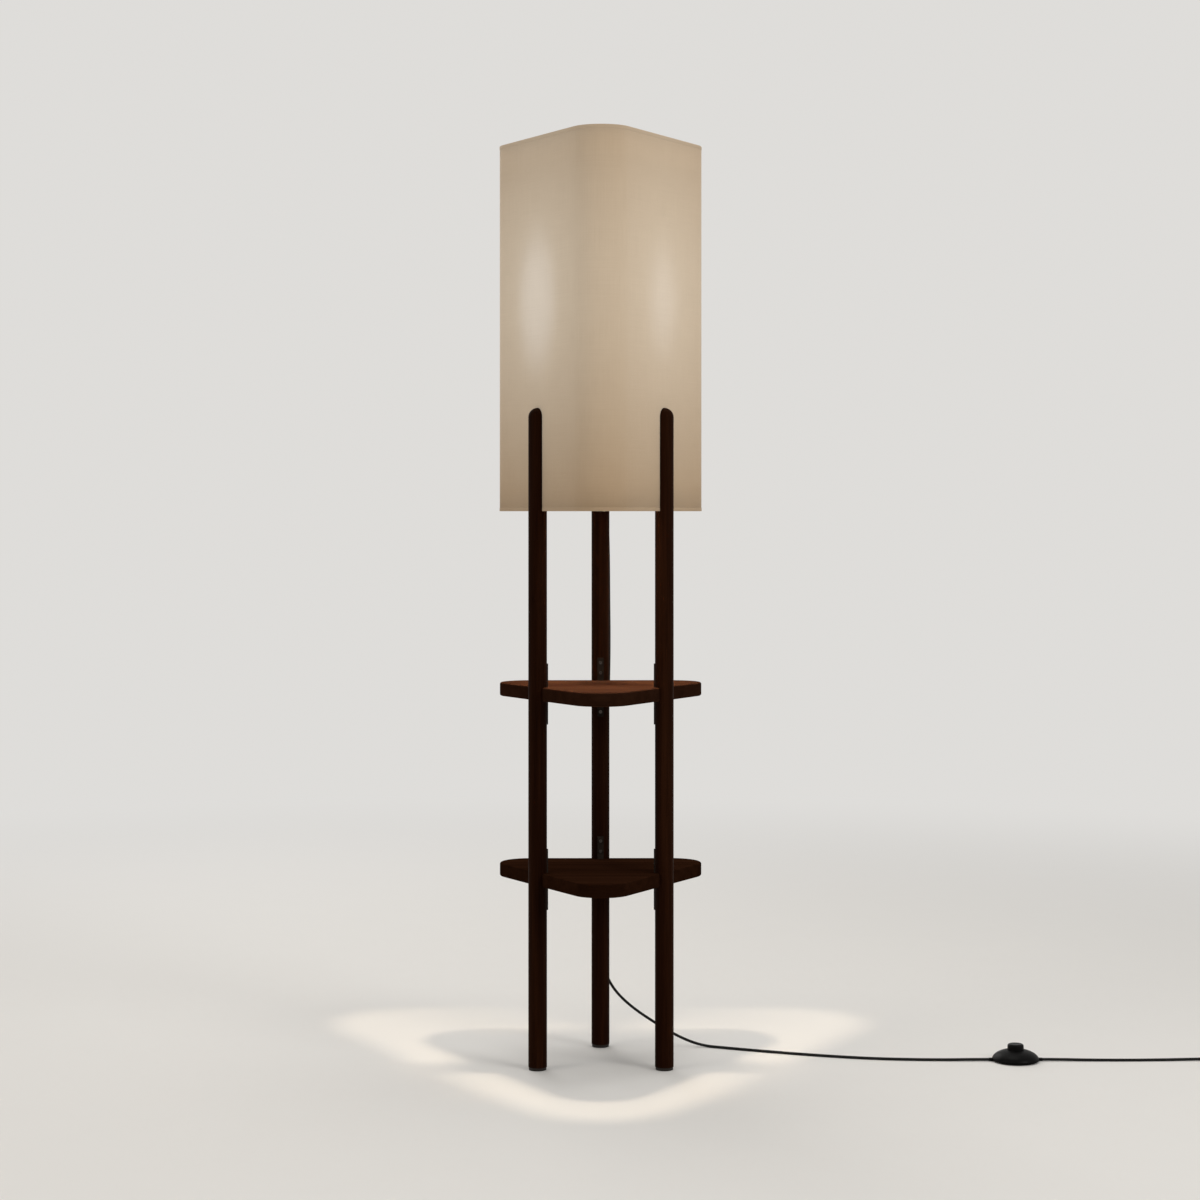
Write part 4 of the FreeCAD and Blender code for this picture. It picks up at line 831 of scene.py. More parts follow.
def thicken(piece: Piece, name: str, thickness: float, offset: float) -> bpy.types.Modifier:
    """Gives a thin piece a wall.

    Args:
        piece: The piece.
        name: The modifier's name.
        thickness: The wall's thickness.
        offset: -1 for inwards, 1 for outwards, 0 for both.

    Returns:
        The modifier.
    """
    wall = piece.modifiers.new(name, "SOLIDIFY")
    wall.thickness = thickness
    wall.offset = offset
    return wall


def arc(middle: tuple[float, float], radius: float, degrees: range) -> list[tuple[float, float]]:
    """Points of an arc in a section, at angles from its outward side."""
    ways = [math.radians(turn) for turn in degrees]
    return [(middle[0] + radius * math.cos(a), middle[1] + radius * math.sin(a)) for a in ways]


def spun(
    mesh: Mesh, outline: Section, place: Vector, along: Vector = UP, steps: int = 64
) -> list[bmesh.types.BMFace]:
    """Spins an outline a full turn about a line.

    Args:
        mesh: The bmesh that it goes into.
        outline: Radius and height of each point, from one end to the other.
        place: Where the line starts.
        along: The line's direction.
        steps: Steps in the turn.

    Returns:
        The new faces.
    """
    before = set(mesh.faces)
    turn = UP.rotation_difference(along).to_matrix()
    points = [mesh.verts.new(place + turn @ Vector((wide, 0.0, high))) for wide, high in outline]
    edges = [mesh.edges.new(pair) for pair in zip(points, points[1:])]
    bmesh.ops.spin(mesh, geom=points + edges, cent=place, axis=along, angle=2 * math.pi,
                   steps=steps, use_merge=True)
    bmesh.ops.remove_doubles(mesh, verts=mesh.verts[:], dist=WELD)
    faces = [face for face in mesh.faces if face not in before]
    bmesh.ops.recalc_face_normals(mesh, faces=faces)
    return faces


@dataclass
class Turned:
    """A round piece whose outline is spun about a line.

    Args:
        name: The piece's name.
        slot: A material slot's name; not used.
        replaced: The solid that it stands for.
        steps: Steps in the turn.
        sharp: Edges that turn by more degrees than this stay crisp.
        body: The body that carries it.
    """

    name: str
    slot: str
    replaced: str
    steps: int = 64
    sharp: float = 35.0
    body: Body = Body.LAMP

    def build(
        self, outline: Section, place: Vector, material: Material, along: Vector = UP
    ) -> Piece:
        """Spins the outline and sets the piece down.

        Args:
            outline: Radius and height of each point, from one end to the other.
            place: Where the line starts.
            material: The piece's material.
            along: The line's direction.

        Returns:
            The piece.
        """
        mesh = bmesh.new()
        spun(mesh, outline, place, along, self.steps)
        piece = finished(self.name, mesh, [material], self.sharp)
        return set_down(piece, [self.replaced], self.body)


@dataclass
class Outline:
    """The lamp's rounded three-cornered outline, one corner towards -Y.

    Args:
        apothem: Lamp axis to each straight side.
        corner_r: Rounding of the corners.
        arc_steps: Steps round each corner.
        side_cuts: Cuts in each straight side.
    """

    apothem: float
    corner_r: float
    arc_steps: int = 20
    side_cuts: int = 13

    @property
    def side(self) -> float:
        """Length from the middle of a straight side to its end."""
        return math.sqrt(3) * (self.apothem - self.corner_r)

    @property
    def reach(self) -> float:
        """Lamp axis to the middle of a corner's rounding."""
        return 2 * (self.apothem - self.corner_r)

    @property
    def third(self) -> float:
        """A third of the way round."""
        return 2 * self.side + self.corner_r * 2 * math.pi / 3

    def run(self, point: Vector) -> float:
        """How far round the outline a point lies.

        Args:
            point: A point near the outline.

        Returns:
            The distance from the middle of the back side, in metres.
        """
        local = point - AXIS
        angle = (math.degrees(math.atan2(local.y, local.x)) - 90.0) % 360.0
        sector = min(int(angle // 120.0), 2)
        to_corner = Matrix.Rotation(-math.radians(150.0 + 120.0 * sector), 3, "Z")
        turned = to_corner @ Vector((local.x, local.y, 0.0))
        way = math.atan2(turned.y, turned.x - self.reach)
        slope = Vector((math.sqrt(3) / 2, 0.5, 0.0))
        if abs(way) <= math.radians(60):
            part = self.side + self.corner_r * (way + math.radians(60))
        elif turned.y < 0:
            part = turned.dot(slope)
        else:
            part = self.third - turned.dot(Vector((slope.x, -slope.y, 0.0)))
        return sector * self.third + part

    def ring(self, mesh: Mesh, height: float, outset: float) -> list[bmesh.types.BMEdge]:
        """Draws the outline at a height.

        Args:
            mesh: The bmesh that it goes into.
            height: The ring's height.
            outset: How far outside the outline it runs.

        Returns:
            The ring's edges.
        """
        before = set(mesh.edges)
        ends = []
        for towards in (-90.0, 30.0, 150.0):
            way, start = math.radians(towards), math.radians(towards - 60.0)
            middle = AXIS + self.reach * Vector((math.cos(way), math.sin(way), 0.0)) + height * UP
            out = (self.corner_r + outset) * Vector((math.cos(start), math.sin(start), 0.0))
            first = mesh.verts.new(middle + out)
            swept = bmesh.ops.spin(mesh, geom=[first], cent=middle, axis=UP,
                                   angle=math.radians(120.0), steps=self.arc_steps)
            last = [part for part in swept["geom_last"] if isinstance(part, bmesh.types.BMVert)]
            ends.append((first, last[0]))
        sides = [mesh.edges.new((ends[i][1], ends[(i + 1) % 3][0])) for i in range(3)]
        bmesh.ops.subdivide_edges(mesh, edges=sides, cuts=self.side_cuts)
        return [edge for edge in mesh.edges if edge not in before]

    def wall(self, rings: Section) -> Mesh:
        """Bridges rings of the outline into a wall.

        Args:
            rings: Outset and height of each ring, in order.

        Returns:
            The wall, with its UV map.
        """
        mesh = bmesh.new()
        drawn = [self.ring(mesh, height, outset) for outset, height in rings]
        for first, second in zip(drawn, drawn[1:]):
            bmesh.ops.bridge_loops(mesh, edges=first + second)
        bmesh.ops.recalc_face_normals(mesh, faces=mesh.faces[:])
        self.unroll(mesh)
        return mesh

    def unroll(self, mesh: Mesh) -> None:
        """Gives a wall a UV map that runs round and up it, in metres.

        Args:
            mesh: The bmesh of the wall.
        """
        layer = mesh.loops.layers.uv.new("threads")
        whole = 3 * self.third
        for face in mesh.faces:
            runs = [self.run(loop.vert.co) for loop in face.loops]
            wraps = max(runs) - min(runs) > whole / 2
            for loop, run in zip(face.loops, runs):
                across = run + whole if wraps and run < whole / 2 else run
                loop[layer].uv = (across, loop.vert.co.z)


@dataclass(frozen=True)
class Light:
    """One of the studio's lamps: a soft disc, or a spot where it has a spread.

    Args:
        name: Its name.
        place: A disc's place, or a spot's about the lamp's axis.
        size: A disc's width, or the softness of a spot's shadows.
        power: Its power in watts.
        colour: Its colour.
        spread: A spot's whole angle in degrees.
        blend: How soft a spot's edge is.
        aim: What a disc faces; a spot faces down.
    """

    name: str
    place: Point
    size: float
    power: float
    colour: Colour
    spread: float = 0.0
    blend: float = 0.0
    aim: Point = (0.15, 0.0, 0.8)

    def build(self) -> None:
        """Puts the lamp into the scene."""
        data = bpy.data.lights.new(self.name, "SPOT" if self.spread else "AREA")
        data.energy = self.power
        data.color = self.colour
        light = linked(self.name, data)
        if self.spread:
            data.shadow_soft_size = self.size
            data.spot_size = math.radians(self.spread)
            data.spot_blend = self.blend
            light.location = AXIS + Vector(self.place)
        else:
            data.shape = "DISK"
            data.size = self.size
            light.location = self.place
            towards = Vector(self.aim) - Vector(self.place)
            light.rotation_euler = towards.to_track_quat("-Z", "Y").to_euler()
        LOG.info("light %s", self.name)


LIGHTS = (
    Light("key_light", (2.9, -2.5, 2.1), 1.8, 55.0, (1.0, 0.985, 0.955)),
    Light("fill_light", (-3.2, -1.9, 1.9), 2.2, 27.5, (1.0, 0.935, 0.850)),
    Light("top_light", (0.2, 0.3, 3.6), 2.0, 32.0, (1.0, 0.985, 0.96)),
    Light("back_light", (-1.2, 3.0, 2.2), 2.0, 30.0, (1.0, 0.985, 0.965)),
    Light("bulb_on_floor", (0.0, -0.062, 1.385), 0.02, 25.0, (1.0, 0.84, 0.64), 62.0, 0.2),
    Light("bulb_on_shelf", (0.0, 0.0, 1.135), 0.05, 18.0, (1.0, 0.80, 0.58), 36.0, 0.8),
)


@dataclass
class Studio:
    """The camera at the photograph's angle, a plain pale floor and a pale room.

    Args:
        distance: Camera to the lamp's axis.
        height: Camera height; it looks level.
        azimuth: Camera's turn about the lamp, in degrees.
        lens: Focal length on the sensor, in millimetres.
        sensor: Width of the sensor, in millimetres.
        shift: Sideways and upwards shift of the picture.
        near_far: Nearest and farthest that the camera sees.
        paper: Colour of the floor far away and of the background.
        speckle: How dark the floor's darkest parts are, as a share of it.
        floor_r: The floor's radius.
        fade: Where the floor starts and ends fading into the background.
        air: Colour of the room's even light.
        air_power: Strength of the room's even light.
    """

    distance: float = 4.108
    height: float = 0.896
    azimuth: float = -0.27
    lens: float = 75.62
    sensor: float = 36.0
    shift: tuple[float, float] = (-0.00068, -0.07351)
    near_far: tuple[float, float] = (0.05, 100.0)
    paper: Colour = (0.735, 0.722, 0.70)
    speckle: float = 0.985
    floor_r: float = 30.0
    fade: tuple[float, float] = (1.1, 3.9)
    air: Colour = (1.0, 0.985, 0.96)
    air_power: float = 0.46

    def make_camera(self) -> None:
        """Adds the camera and makes it the scene's."""
        data = bpy.data.cameras.new("view_of_lamp")
        data.lens = self.lens
        data.sensor_width = self.sensor
        data.shift_x, data.shift_y = self.shift
        data.clip_start, data.clip_end = self.near_far
        camera = linked("view_of_lamp", data)
        way = math.radians(self.azimuth)
        back = Vector((math.sin(way), -math.cos(way), 0.0)) * self.distance
        camera.location = AXIS + back + UP * self.height
        camera.rotation_euler = (math.pi / 2, 0.0, way)
        bpy.context.scene.camera = camera
        LOG.info("camera at %s", tuple(round(part, 3) for part in camera.location))

    def make_floor(self) -> None:
        """Adds the pale floor, which fades into the background."""
        mesh = bmesh.new()
        bmesh.ops.create_circle(mesh, cap_ends=True, segments=96, radius=self.floor_r)
        material = bpy.data.materials.new("pale_floor")
        graph = emptied(material)
        place = graph.node("TexCoord").outputs["Object"]
        darker = tuple(part * self.speckle for part in self.paper)
        colour = graph.mixed(graph.noise(place, 9.0, 5.0), darker, self.paper)
        dull = {"Base Color": colour, "Roughness": 0.7, "Specular IOR Level": 0.15}
        surface = graph.node("BsdfPrincipled", dull)
        far = graph.node("Emission", {"Color": self.paper, "Strength": 1.0})
        reach = {"Value": graph.length(place), "From Min": self.fade[0], "From Max": self.fade[1]}
        fading = graph.node("MapRange", reach, interpolation_type="SMOOTHSTEP").outputs["Result"]
        ray = graph.node("LightPath").outputs
        eye = graph.math("MAXIMUM", ray["Is Camera Ray"], ray["Is Glossy Ray"])
        graph.end_mixed("OutputMaterial", graph.times(fading, eye), surface, far)
        floor = finished("pale_floor", mesh, [material])
        LOG.info("floor %s", floor.name)

    def make_world(self) -> None:
        """Sets an even room light that shows as the background's colour."""
        world = bpy.data.worlds.new("soft_room")
        bpy.context.scene.world = world
        graph = emptied(world)
        light = graph.node("Background", {"Color": self.air, "Strength": self.air_power})
        shown = graph.node("Background", {"Color": self.paper, "Strength": 1.0})
        ray = graph.node("LightPath").outputs
        eye = graph.math("MAXIMUM", ray["Is Camera Ray"], ray["Is Transmission Ray"])
        eye = graph.math("MAXIMUM", eye, ray["Is Glossy Ray"])
        graph.end_mixed("OutputWorld", eye, light, shown)


@dataclass
class Cords:
    """The cord from the lowest clip to the foot switch, and on through its coil to the plug.

    Args:
        diameter: The cord's diameter.
        coil_middle: The coil's middle about the lamp's axis, in its lower layer.
        coil_r: Radius of its outer turn.
        pitch: From one turn to the next, and from layer to layer.
        turns_in: Turns from the outside to the inmost turn.
        per_turn: Points in each turn.
        to_switch: Route to the foot switch, about the lamp's axis.
        to_coil: Route from the foot switch to the coil.
        to_plug: Route from the coil to the plug.
    """

    diameter: float = 0.0046
    coil_middle: Point = (1.048, 0.040, 0.0034)
    coil_r: float = 0.0372
    pitch: float = 0.0052
    turns_in: float = 3.625
    per_turn: int = 16
    to_switch: tuple[Point, ...] = (
        (0.00696, 0.13389, 0.138), (0.00696, 0.13389, 0.127), (0.0130, 0.1336, 0.109),
        (0.0280, 0.1322, 0.086), (0.0540, 0.1296, 0.0625), (0.0890, 0.1258, 0.0395),
        (0.1290, 0.1203, 0.0165), (0.1680, 0.1120, 0.0023), (0.2120, 0.0925, 0.0023),
        (0.2620, 0.0710, 0.0023), (0.3200, 0.0480, 0.0023), (0.3810, 0.0275, 0.0023),
        (0.4430, 0.0110, 0.0023), (0.5050, 0.0032, 0.0023), (0.5610, 0.0004, 0.0024),
        (0.6025, 0.0, 0.0030), (0.6325, 0.0, 0.0030),
    )
    to_coil: tuple[Point, ...] = (
        (0.7205, 0.0, 0.0030), (0.7470, 0.0, 0.0030), (0.7940, -0.0022, 0.0024),
        (0.8520, -0.0032, 0.0023), (0.9110, -0.0016, 0.0023), (0.9670, 0.0018, 0.0027),
        (1.0120, 0.0028, 0.0034),
    )
    to_plug: tuple[Point, ...] = (
        (1.0852, 0.0600, 0.0086), (1.0864, 0.0820, 0.00685), (1.0864, 0.0980, 0.00685),
    )

    def coil(self) -> list[Point]:
        """The coil's control points: in along the lower layer, half a turn up, out along the upper.

        Returns:
            The points, a little outside the cord's own line, which the spline draws in.
        """
        x, y, low = self.coil_middle
        step = 2 * math.pi / self.per_turn
        half = self.turns_in * 2 * math.pi
        inmost = self.coil_r - self.pitch * self.turns_in
        spread = 1 / math.cos(step / 2)
        points = [(x - self.coil_r * math.tan(step / 2), y - self.coil_r, low)]
        for i in range(round(self.turns_in * 2 * self.per_turn)):
            turned = (i + 0.5) * step
            way = turned - math.pi / 2
            radius = (inmost + self.pitch * abs(turned - half) / (2 * math.pi)) * spread
            climbed = min(max((turned - half + math.pi / 2) / math.pi, 0.0), 1.0)
            height = low + self.pitch * climbed * climbed * (3 - 2 * climbed)
            points.append((x + radius * math.cos(way), y + radius * math.sin(way), height))
        return points

    def flex(self, name: str, route: Sequence[Point], material: Material) -> Piece:
        """Makes one free stretch of the round cord, as one smooth spline.

        Args:
            name: The piece's name.
            route: Its control points about the lamp's axis.
            material: The cord's material.

        Returns:
            The curve object.
        """
        data = bpy.data.curves.new(name, "CURVE")
        data.dimensions = "3D"
        data.bevel_depth = self.diameter / 2
        data.bevel_resolution = 4
        data.resolution_u = 6
        data.use_fill_caps = True
        data.twist_mode = "MINIMUM"
        spline = data.splines.new("NURBS")
        spline.points.add(len(route) - 1)
        for control, point in zip(spline.points, route):
            control.co = (*(Vector(point) + AXIS), 1.0)
        spline.order_u = 3
        spline.use_endpoint_u = True
        data.materials.append(material)
        return linked(name, data)

    def build(self, coats: Coats) -> tuple[Piece, Piece]:
        """Makes both stretches.

        Args:
            coats: The lamp's materials.

        Returns:
            The two curves.
        """
        rubber = coats["cord_rubber"]
        first = self.flex("flex_to_switch", self.to_switch, rubber)
        set_down(first, ["cord_to_switch"])
        second = self.flex("flex_to_plug", [*self.to_coil, *self.coil(), *self.to_plug], rubber)
        set_down(second, ["cord_to_coil", "cord_coil", "cord_to_plug"])
        return first, second


@dataclass
class Shade:
    """The tall fabric shade with its folded edges and its seam at the back.

    Args:
        outline: The shade's outer outline.
        low: Height of its lower edge.
        height: Its height.
        rows: Rows of faces up it.
        cloth: Thickness of cloth and backing together.
        hem: Height of the folded edges.
        fold: Outset of a folded edge's points, and how far in from the shade's edge they are.
        fold_sharp: Edges of the fold that turn by more degrees than this stay crisp.
        seam: Width of the glued overlap at the back.
        seam_rows: Rows of faces up the overlap.
        lap: Thickness of the overlap.
        lift: Gap under the overlap.
    """

    outline: Outline = field(default_factory=lambda: Outline(0.1172, 0.0492))
    low: float = 0.897
    height: float = 0.603
    rows: int = 12
    cloth: float = 0.0010
    hem: float = 0.0048
    fold: Section = (
        (0.00001, 0.0058), (0.00027, 0.0050), (0.00045, 0.0040), (0.00045, 0.0006),
        (0.0002475, 0.00012), (-0.0005, 0.00002), (-0.00112, 0.00012), (-0.0014, 0.0008),
        (-0.0014, 0.00768), (-0.00102, 0.00816),
    )
    fold_sharp: float = 50.0
    seam: float = 0.012
    seam_rows: int = 24
    lap: float = 0.0002
    lift: float = 0.00002

    def build(self, coats: Coats) -> None:
        """Makes the cloth, its two folded edges and its seam.

        Args:
            coats: The lamp's materials.
        """
        heights = [self.low + self.height * row / self.rows for row in range(self.rows + 1)]
        mesh = self.outline.wall([(0.0, height) for height in heights])
        cloth = finished("shade_cloth", mesh, [coats["shade_cloth"], coats["shade_backing"]])
        wall = thicken(cloth, "backing", self.cloth, -1.0)
        wall.material_offset = 1
        wall.material_offset_rim = 0
        set_down(cloth, ["shade_skin"])
        hem = coats["shade_hem"]
        hems = [self.folded_edge("shade_hem_bottom", self.low, 1.0, hem),
                self.folded_edge("shade_hem_top", self.low + self.height, -1.0, hem)]
        seam = self.back_seam(hem)

    def folded_edge(self, name: str, edge: float, inwards: float, material: Material) -> Piece:
        """The cloth folded over an end of the shade.

        Args:
            name: The piece's name.
            edge: Height of the shade's edge.
            inwards: 1 where the shade is above the edge, -1 where it is below.
            material: The folded cloth's material.

        Returns:
            The folded edge.
        """
        mesh = self.outline.wall([(outset, edge + inwards * rise) for outset, rise in self.fold])
        return set_down(finished(name, mesh, [material], self.fold_sharp))

    def back_seam(self, material: Material) -> Piece:
        """The glued overlap of the cloth, up the middle of the back.

        Args:
            material: The folded cloth's material.

        Returns:
            The seam.
        """
        mesh = bmesh.new()
        bmesh.ops.create_grid(mesh, x_segments=2, y_segments=self.seam_rows, size=0.5)
        span = self.height - 2 * self.hem
        rise = self.low + self.height / 2
        place = AXIS + Vector((0.0, self.outline.apothem + self.lift, rise))
        upright = Matrix.Rotation(math.pi, 4, "Z") @ Matrix.Rotation(math.pi / 2, 4, "X")
        sized = Matrix.Diagonal((self.seam, span, 1.0, 1.0))
        whole = Matrix.Translation(place) @ upright @ sized
        bmesh.ops.transform(mesh, matrix=whole, verts=mesh.verts[:])
        self.outline.unroll(mesh)
        made = finished("shade_seam", mesh, [material])
        thicken(made, "overlap", self.lap, 1.0)
        return set_down(made)


@dataclass
class BulbAndHolder:
    """The burning bulb and the ribbed shell of its holder.

    Args:
        neck: Height of the top of the bulb's metal base.
        neck_foot: Radius and height above the neck of the glass's lowest points.
        neck_line: How far up from neck to globe, and the radius there.
        globe: Height of the globe's middle.
        globe_r: The globe's radius.
        shell_low: Height of the holder shell's lower edge.
        shell_r: Its radius.
        bore_r: Radius inside it.
        thread: Outset and rise of each point of one of its threads.
        threads: How many threads it has.
        thread_start: Lower edge to the first thread.
        thread_pitch: From thread to thread.
        low_edge: How far its lower edge stands in.
        lip: Radius of the rim's points, and how far below the top they are.
    """

    neck: float = 1.194
    neck_foot: Section = ((0.0130, 0.0003), (0.0133, 0.003))
    neck_line: Section = ((0.16, 0.0148), (0.30, 0.0176), (0.44, 0.0212), (0.56, 0.0244))
    globe: float = 1.244
    globe_r: float = 0.030
    shell_low: float = 1.164
    shell_r: float = 0.020
    bore_r: float = 0.0184
    thread: Section = ((-0.0009, 0.0), (0.0, 0.0010), (0.0, 0.0018), (-0.0009, 0.0028))
    threads: int = 6
    thread_start: float = 0.004
    thread_pitch: float = 0.0034
    low_edge: float = 0.0003
    lip: Section = (
        (0.0191, 0.0033), (0.0211, 0.003), (0.0215, 0.0026), (0.0215, 0.0005), (0.0210, 0.0),
        (0.0188, 0.0), (0.0184, 0.0005),
    )

    def build(self, coats: Coats) -> None:
        """Makes the bulb's glass and the holder's shell.

        Args:
            coats: The lamp's materials.
        """
        bulb = Turned("bulb_frosted", "bulb_glass", "bulb_glass", 48)
        bulb.build(self.glass_outline(), AXIS, coats["lit_frosted_glass"])
        shell = Turned("holder_ribbed_shell", "holder_plastic", "lampholder_shell", 72)
        shell.build(self.shell_outline(), AXIS, coats["holder_plastic"])

    def glass_outline(self) -> Section:
        """The bulb's outline, from its neck over the globe to its top.

        Returns:
            Radius and height of each point.
        """
        rise = self.globe - self.neck
        points = [(radius, self.neck + above) for radius, above in self.neck_foot]
        points += [(radius, self.neck + share * rise) for share, radius in self.neck_line]
        points += arc((0.0, self.globe), self.globe_r, range(-36, 90, 7))
        return [*points, (0.0, self.globe + self.globe_r)]

    def shell_outline(self) -> Section:
        """The shell's section: threads for a shade ring outside, a smooth bore inside.

        Returns:
            Radius and height of each point, round the section and back to its start.
        """
        start = (self.bore_r, self.shell_low)
        points = [start, (self.shell_r - self.low_edge, self.shell_low)]
        for turn in range(self.threads):
            foot = self.shell_low + self.thread_start + turn * self.thread_pitch
            points += [(self.shell_r + outset, foot + rise) for outset, rise in self.thread]
        points += [(radius, self.neck - below) for radius, below in self.lip]
        return [*points, start]


@dataclass
class FootSwitch:
    """The round black foot switch: base, domed cover, button and two cord bushes.

    Args:
        middle: Its middle on the floor, about the lamp's axis.
        radius: Its radius at the widest.
        foot: Height of the base's underside.
        seam: Height of the line between base and cover.
        base_in: How far the base stands in from the cover.
        base_edge: How far its top edge stands in, and below the seam.
        top: Height of the cover round the button.
        oval: Half width, half height and middle height of the dome's oval.
        flat_r: Radius of the flat round the button.
        wall: Thickness of the cover's wall.
        rim: How far in from the radius, and above the seam, the cover's lowest points are.
        steps: Steps along the dome's outside and along its inside.
        hole_edge: How far out from the hole, and below the top, the points of its edge are.
        button_r: The button's radius.
        button_top: The button's top.
        button_low: Radius and height of the button's points under the cover.
        button_edge: Rounding of the button's top edge.
        button_rise: How far below the button's top that rounding ends.
        button_dish: Share of its radius, and depth, of its hollow top's points.
        gap: Room round the button.
        entry: Height of the cord where it goes in.
        bush_r: Radius of the bush there.
        bush_long: The bush's length.
        bush_in: How far inside the switch it starts.
        bush_end: How far its end stands in.
        bush_ring: Outset, rise and taper per ring of each point of one of its rings.
        bush_rings: Where each ring starts.
    """

    middle: Point = (0.6765, 0.0, 0.0)
    radius: float = 0.038
    foot: float = 0.0011
    seam: float = 0.0034
    base_in: float = 0.0003
    base_edge: tuple[float, float] = (0.0004, 0.00002)
    top: float = 0.0189
    oval: tuple[float, float, float] = (0.0382, 0.01763, 0.0025)
    flat_r: float = 0.014
    wall: float = 0.002
    rim: Section = ((0.0006, 0.0), (0.0001, 0.0003))
    steps: tuple[int, int] = (18, 5)
    hole_edge: Section = ((0.0002, 0.0001), (0.0, 0.0005))
    button_r: float = 0.01325
    button_top: float = 0.0286
    button_low: Section = (
        (0.0, 0.0088), (0.003, 0.0088), (0.003, 0.0142), (0.0159, 0.0142), (0.0159, 0.0161),
        (0.01325, 0.0162), (0.01325, 0.0244),
    )
    button_edge: float = 0.0034
    button_rise: float = 0.0002
    button_dish: Section = ((0.55, 0.00035), (0.3, 0.0006), (0.0, 0.0007))
    gap: float = 0.0004
    entry: float = 0.0030
    bush_r: float = 0.0028
    bush_long: float = 0.0100
    bush_in: float = 0.004
    bush_end: float = 0.0004
    bush_ring: tuple[Point, ...] = (
        (0.0, 0.0, 0.0), (0.0, 0.0011, 0.00008), (-0.0003, 0.0013, 0.0), (-0.0003, 0.0018, 0.0),
    )
    bush_rings: tuple[float, float, float] = (0.0040, 0.0060, 0.0080)

    def build(self, coats: Coats) -> tuple[list[Piece], list[Piece]]:
        """Makes the switch's outer pieces.

        Args:
            coats: The lamp's materials.

        Returns:
            The pieces on the incoming cord, and those on the outgoing one.
        """
        place = AXIS + Vector(self.middle)
        black = coats["switch_plastic"]
        base = Turned("switch_round_base", "switch_plastic", "switch_base", 96, 40.0)
        cover = Turned("switch_dome", "switch_plastic", "switch_cover", 128, 40.0)
        button = Turned(
            "switch_push_button", "button_plastic", "switch_button", 64, 40.0, Body.BUTTON
        )
        pieces = [
            base.build(self.base_outline(), place, black),
            cover.build(self.cover_outline(), place, black),
            button.build(self.button_outline(), place, coats["button_plastic"]),
        ]
        west = self.bush("switch_bush_west", -1.0, "switch_bush_in", black)
        east = self.bush("switch_bush_east", 1.0, "switch_bush_out", black)
        within = ("switch_pad", "switch_works", "switch_spring", "switch_screws")
        inside = [bpy.data.objects[name] for name in within]
        return [*pieces, west, *inside], [east]

    def base_outline(self) -> Section:
        """The base's section, rounded outwards from the pad to the seam.

        Returns:
            Radius and height of each point.
        """
        wide = self.radius - self.base_in
        inwards, below = self.base_edge
        bend, high = self.seam - self.foot - inwards, self.seam - below
        under = [(0.0, self.foot), (wide - bend, self.foot)]
        rounded = arc((wide - bend, self.foot + bend), bend, range(-75, 1, 15))
        return [*under, *rounded, (wide - inwards, high), (0.0, high)]

    def oval_point(self, part: float, inset: float = 0.0) -> tuple[float, float]:
        """A point on the dome's oval.

        Args:
            part: From 0 at the rim to 1 at the flat round the button.
            inset: How far inside the dome's surface.

        Returns:
            Its radius and height.
        """
        reach, rise, middle = self.oval
        first, last = (math.acos(edge / reach) for edge in (self.radius, self.flat_r))
        way = first + (last - first) * part
        return (reach - inset) * math.cos(way), middle + (rise - inset) * math.sin(way)

    def cover_outline(self) -> Section:
        """The cover's section: rim, oval dome, the flat round the button and the wall's inner side.

        Returns:
            Radius and height of each point.
        """
        hole = self.button_r + self.gap
        outer, inner = self.steps
        points = [(self.radius - inwards, self.seam + above) for inwards, above in self.rim]
        points += [self.oval_point(step / outer) for step in range(outer + 1)]
        points += [(hole + out, self.top - below) for out, below in self.hole_edge]
        points.append((hole, self.top - self.wall))
        points += [self.oval_point(step / inner, self.wall) for step in reversed(range(inner))]
        return [*points, (self.radius - self.wall, self.seam), points[0]]

    def button_outline(self) -> Section:
        """The button's section, with a rounded edge and a slightly hollow top.

        Returns:
            Radius and height of each point.
        """
        wide, top, edge = self.button_r, self.button_top, self.button_edge
        rounded = arc((wide - edge, top - edge - self.button_rise), edge, range(0, 91, 15))
        dished = [(wide * share, top - deep) for share, deep in self.button_dish]
        return [*self.button_low, *rounded, *dished]

    def bush(self, name: str, side: float, node: str, material: Material) -> Piece:
        """The short stepped bush where the cord goes into the switch.

        Args:
            name: The piece's name.
            side: -1 towards the lamp, 1 away from it.
            node: The solid that it stands for.
            material: The bush's material.

        Returns:
            The bush.
        """
        along = self.middle[0] + side * (self.radius - self.bush_in)
        start = AXIS + Vector((along, 0.0, self.entry))
        outline = [(0.0, 0.0), (self.bush_r, 0.0)]
        for ring, foot in enumerate(self.bush_rings):
            for out, rise, taper in self.bush_ring:
                outline.append((self.bush_r + out - ring * taper, foot + rise))
        outline += [(self.bush_r - self.bush_end, self.bush_long), (0.0, self.bush_long)]
        made = Turned(name, "switch_plastic", node, 32)
        return made.build(outline, start, material, Vector((side, 0.0, 0.0)))


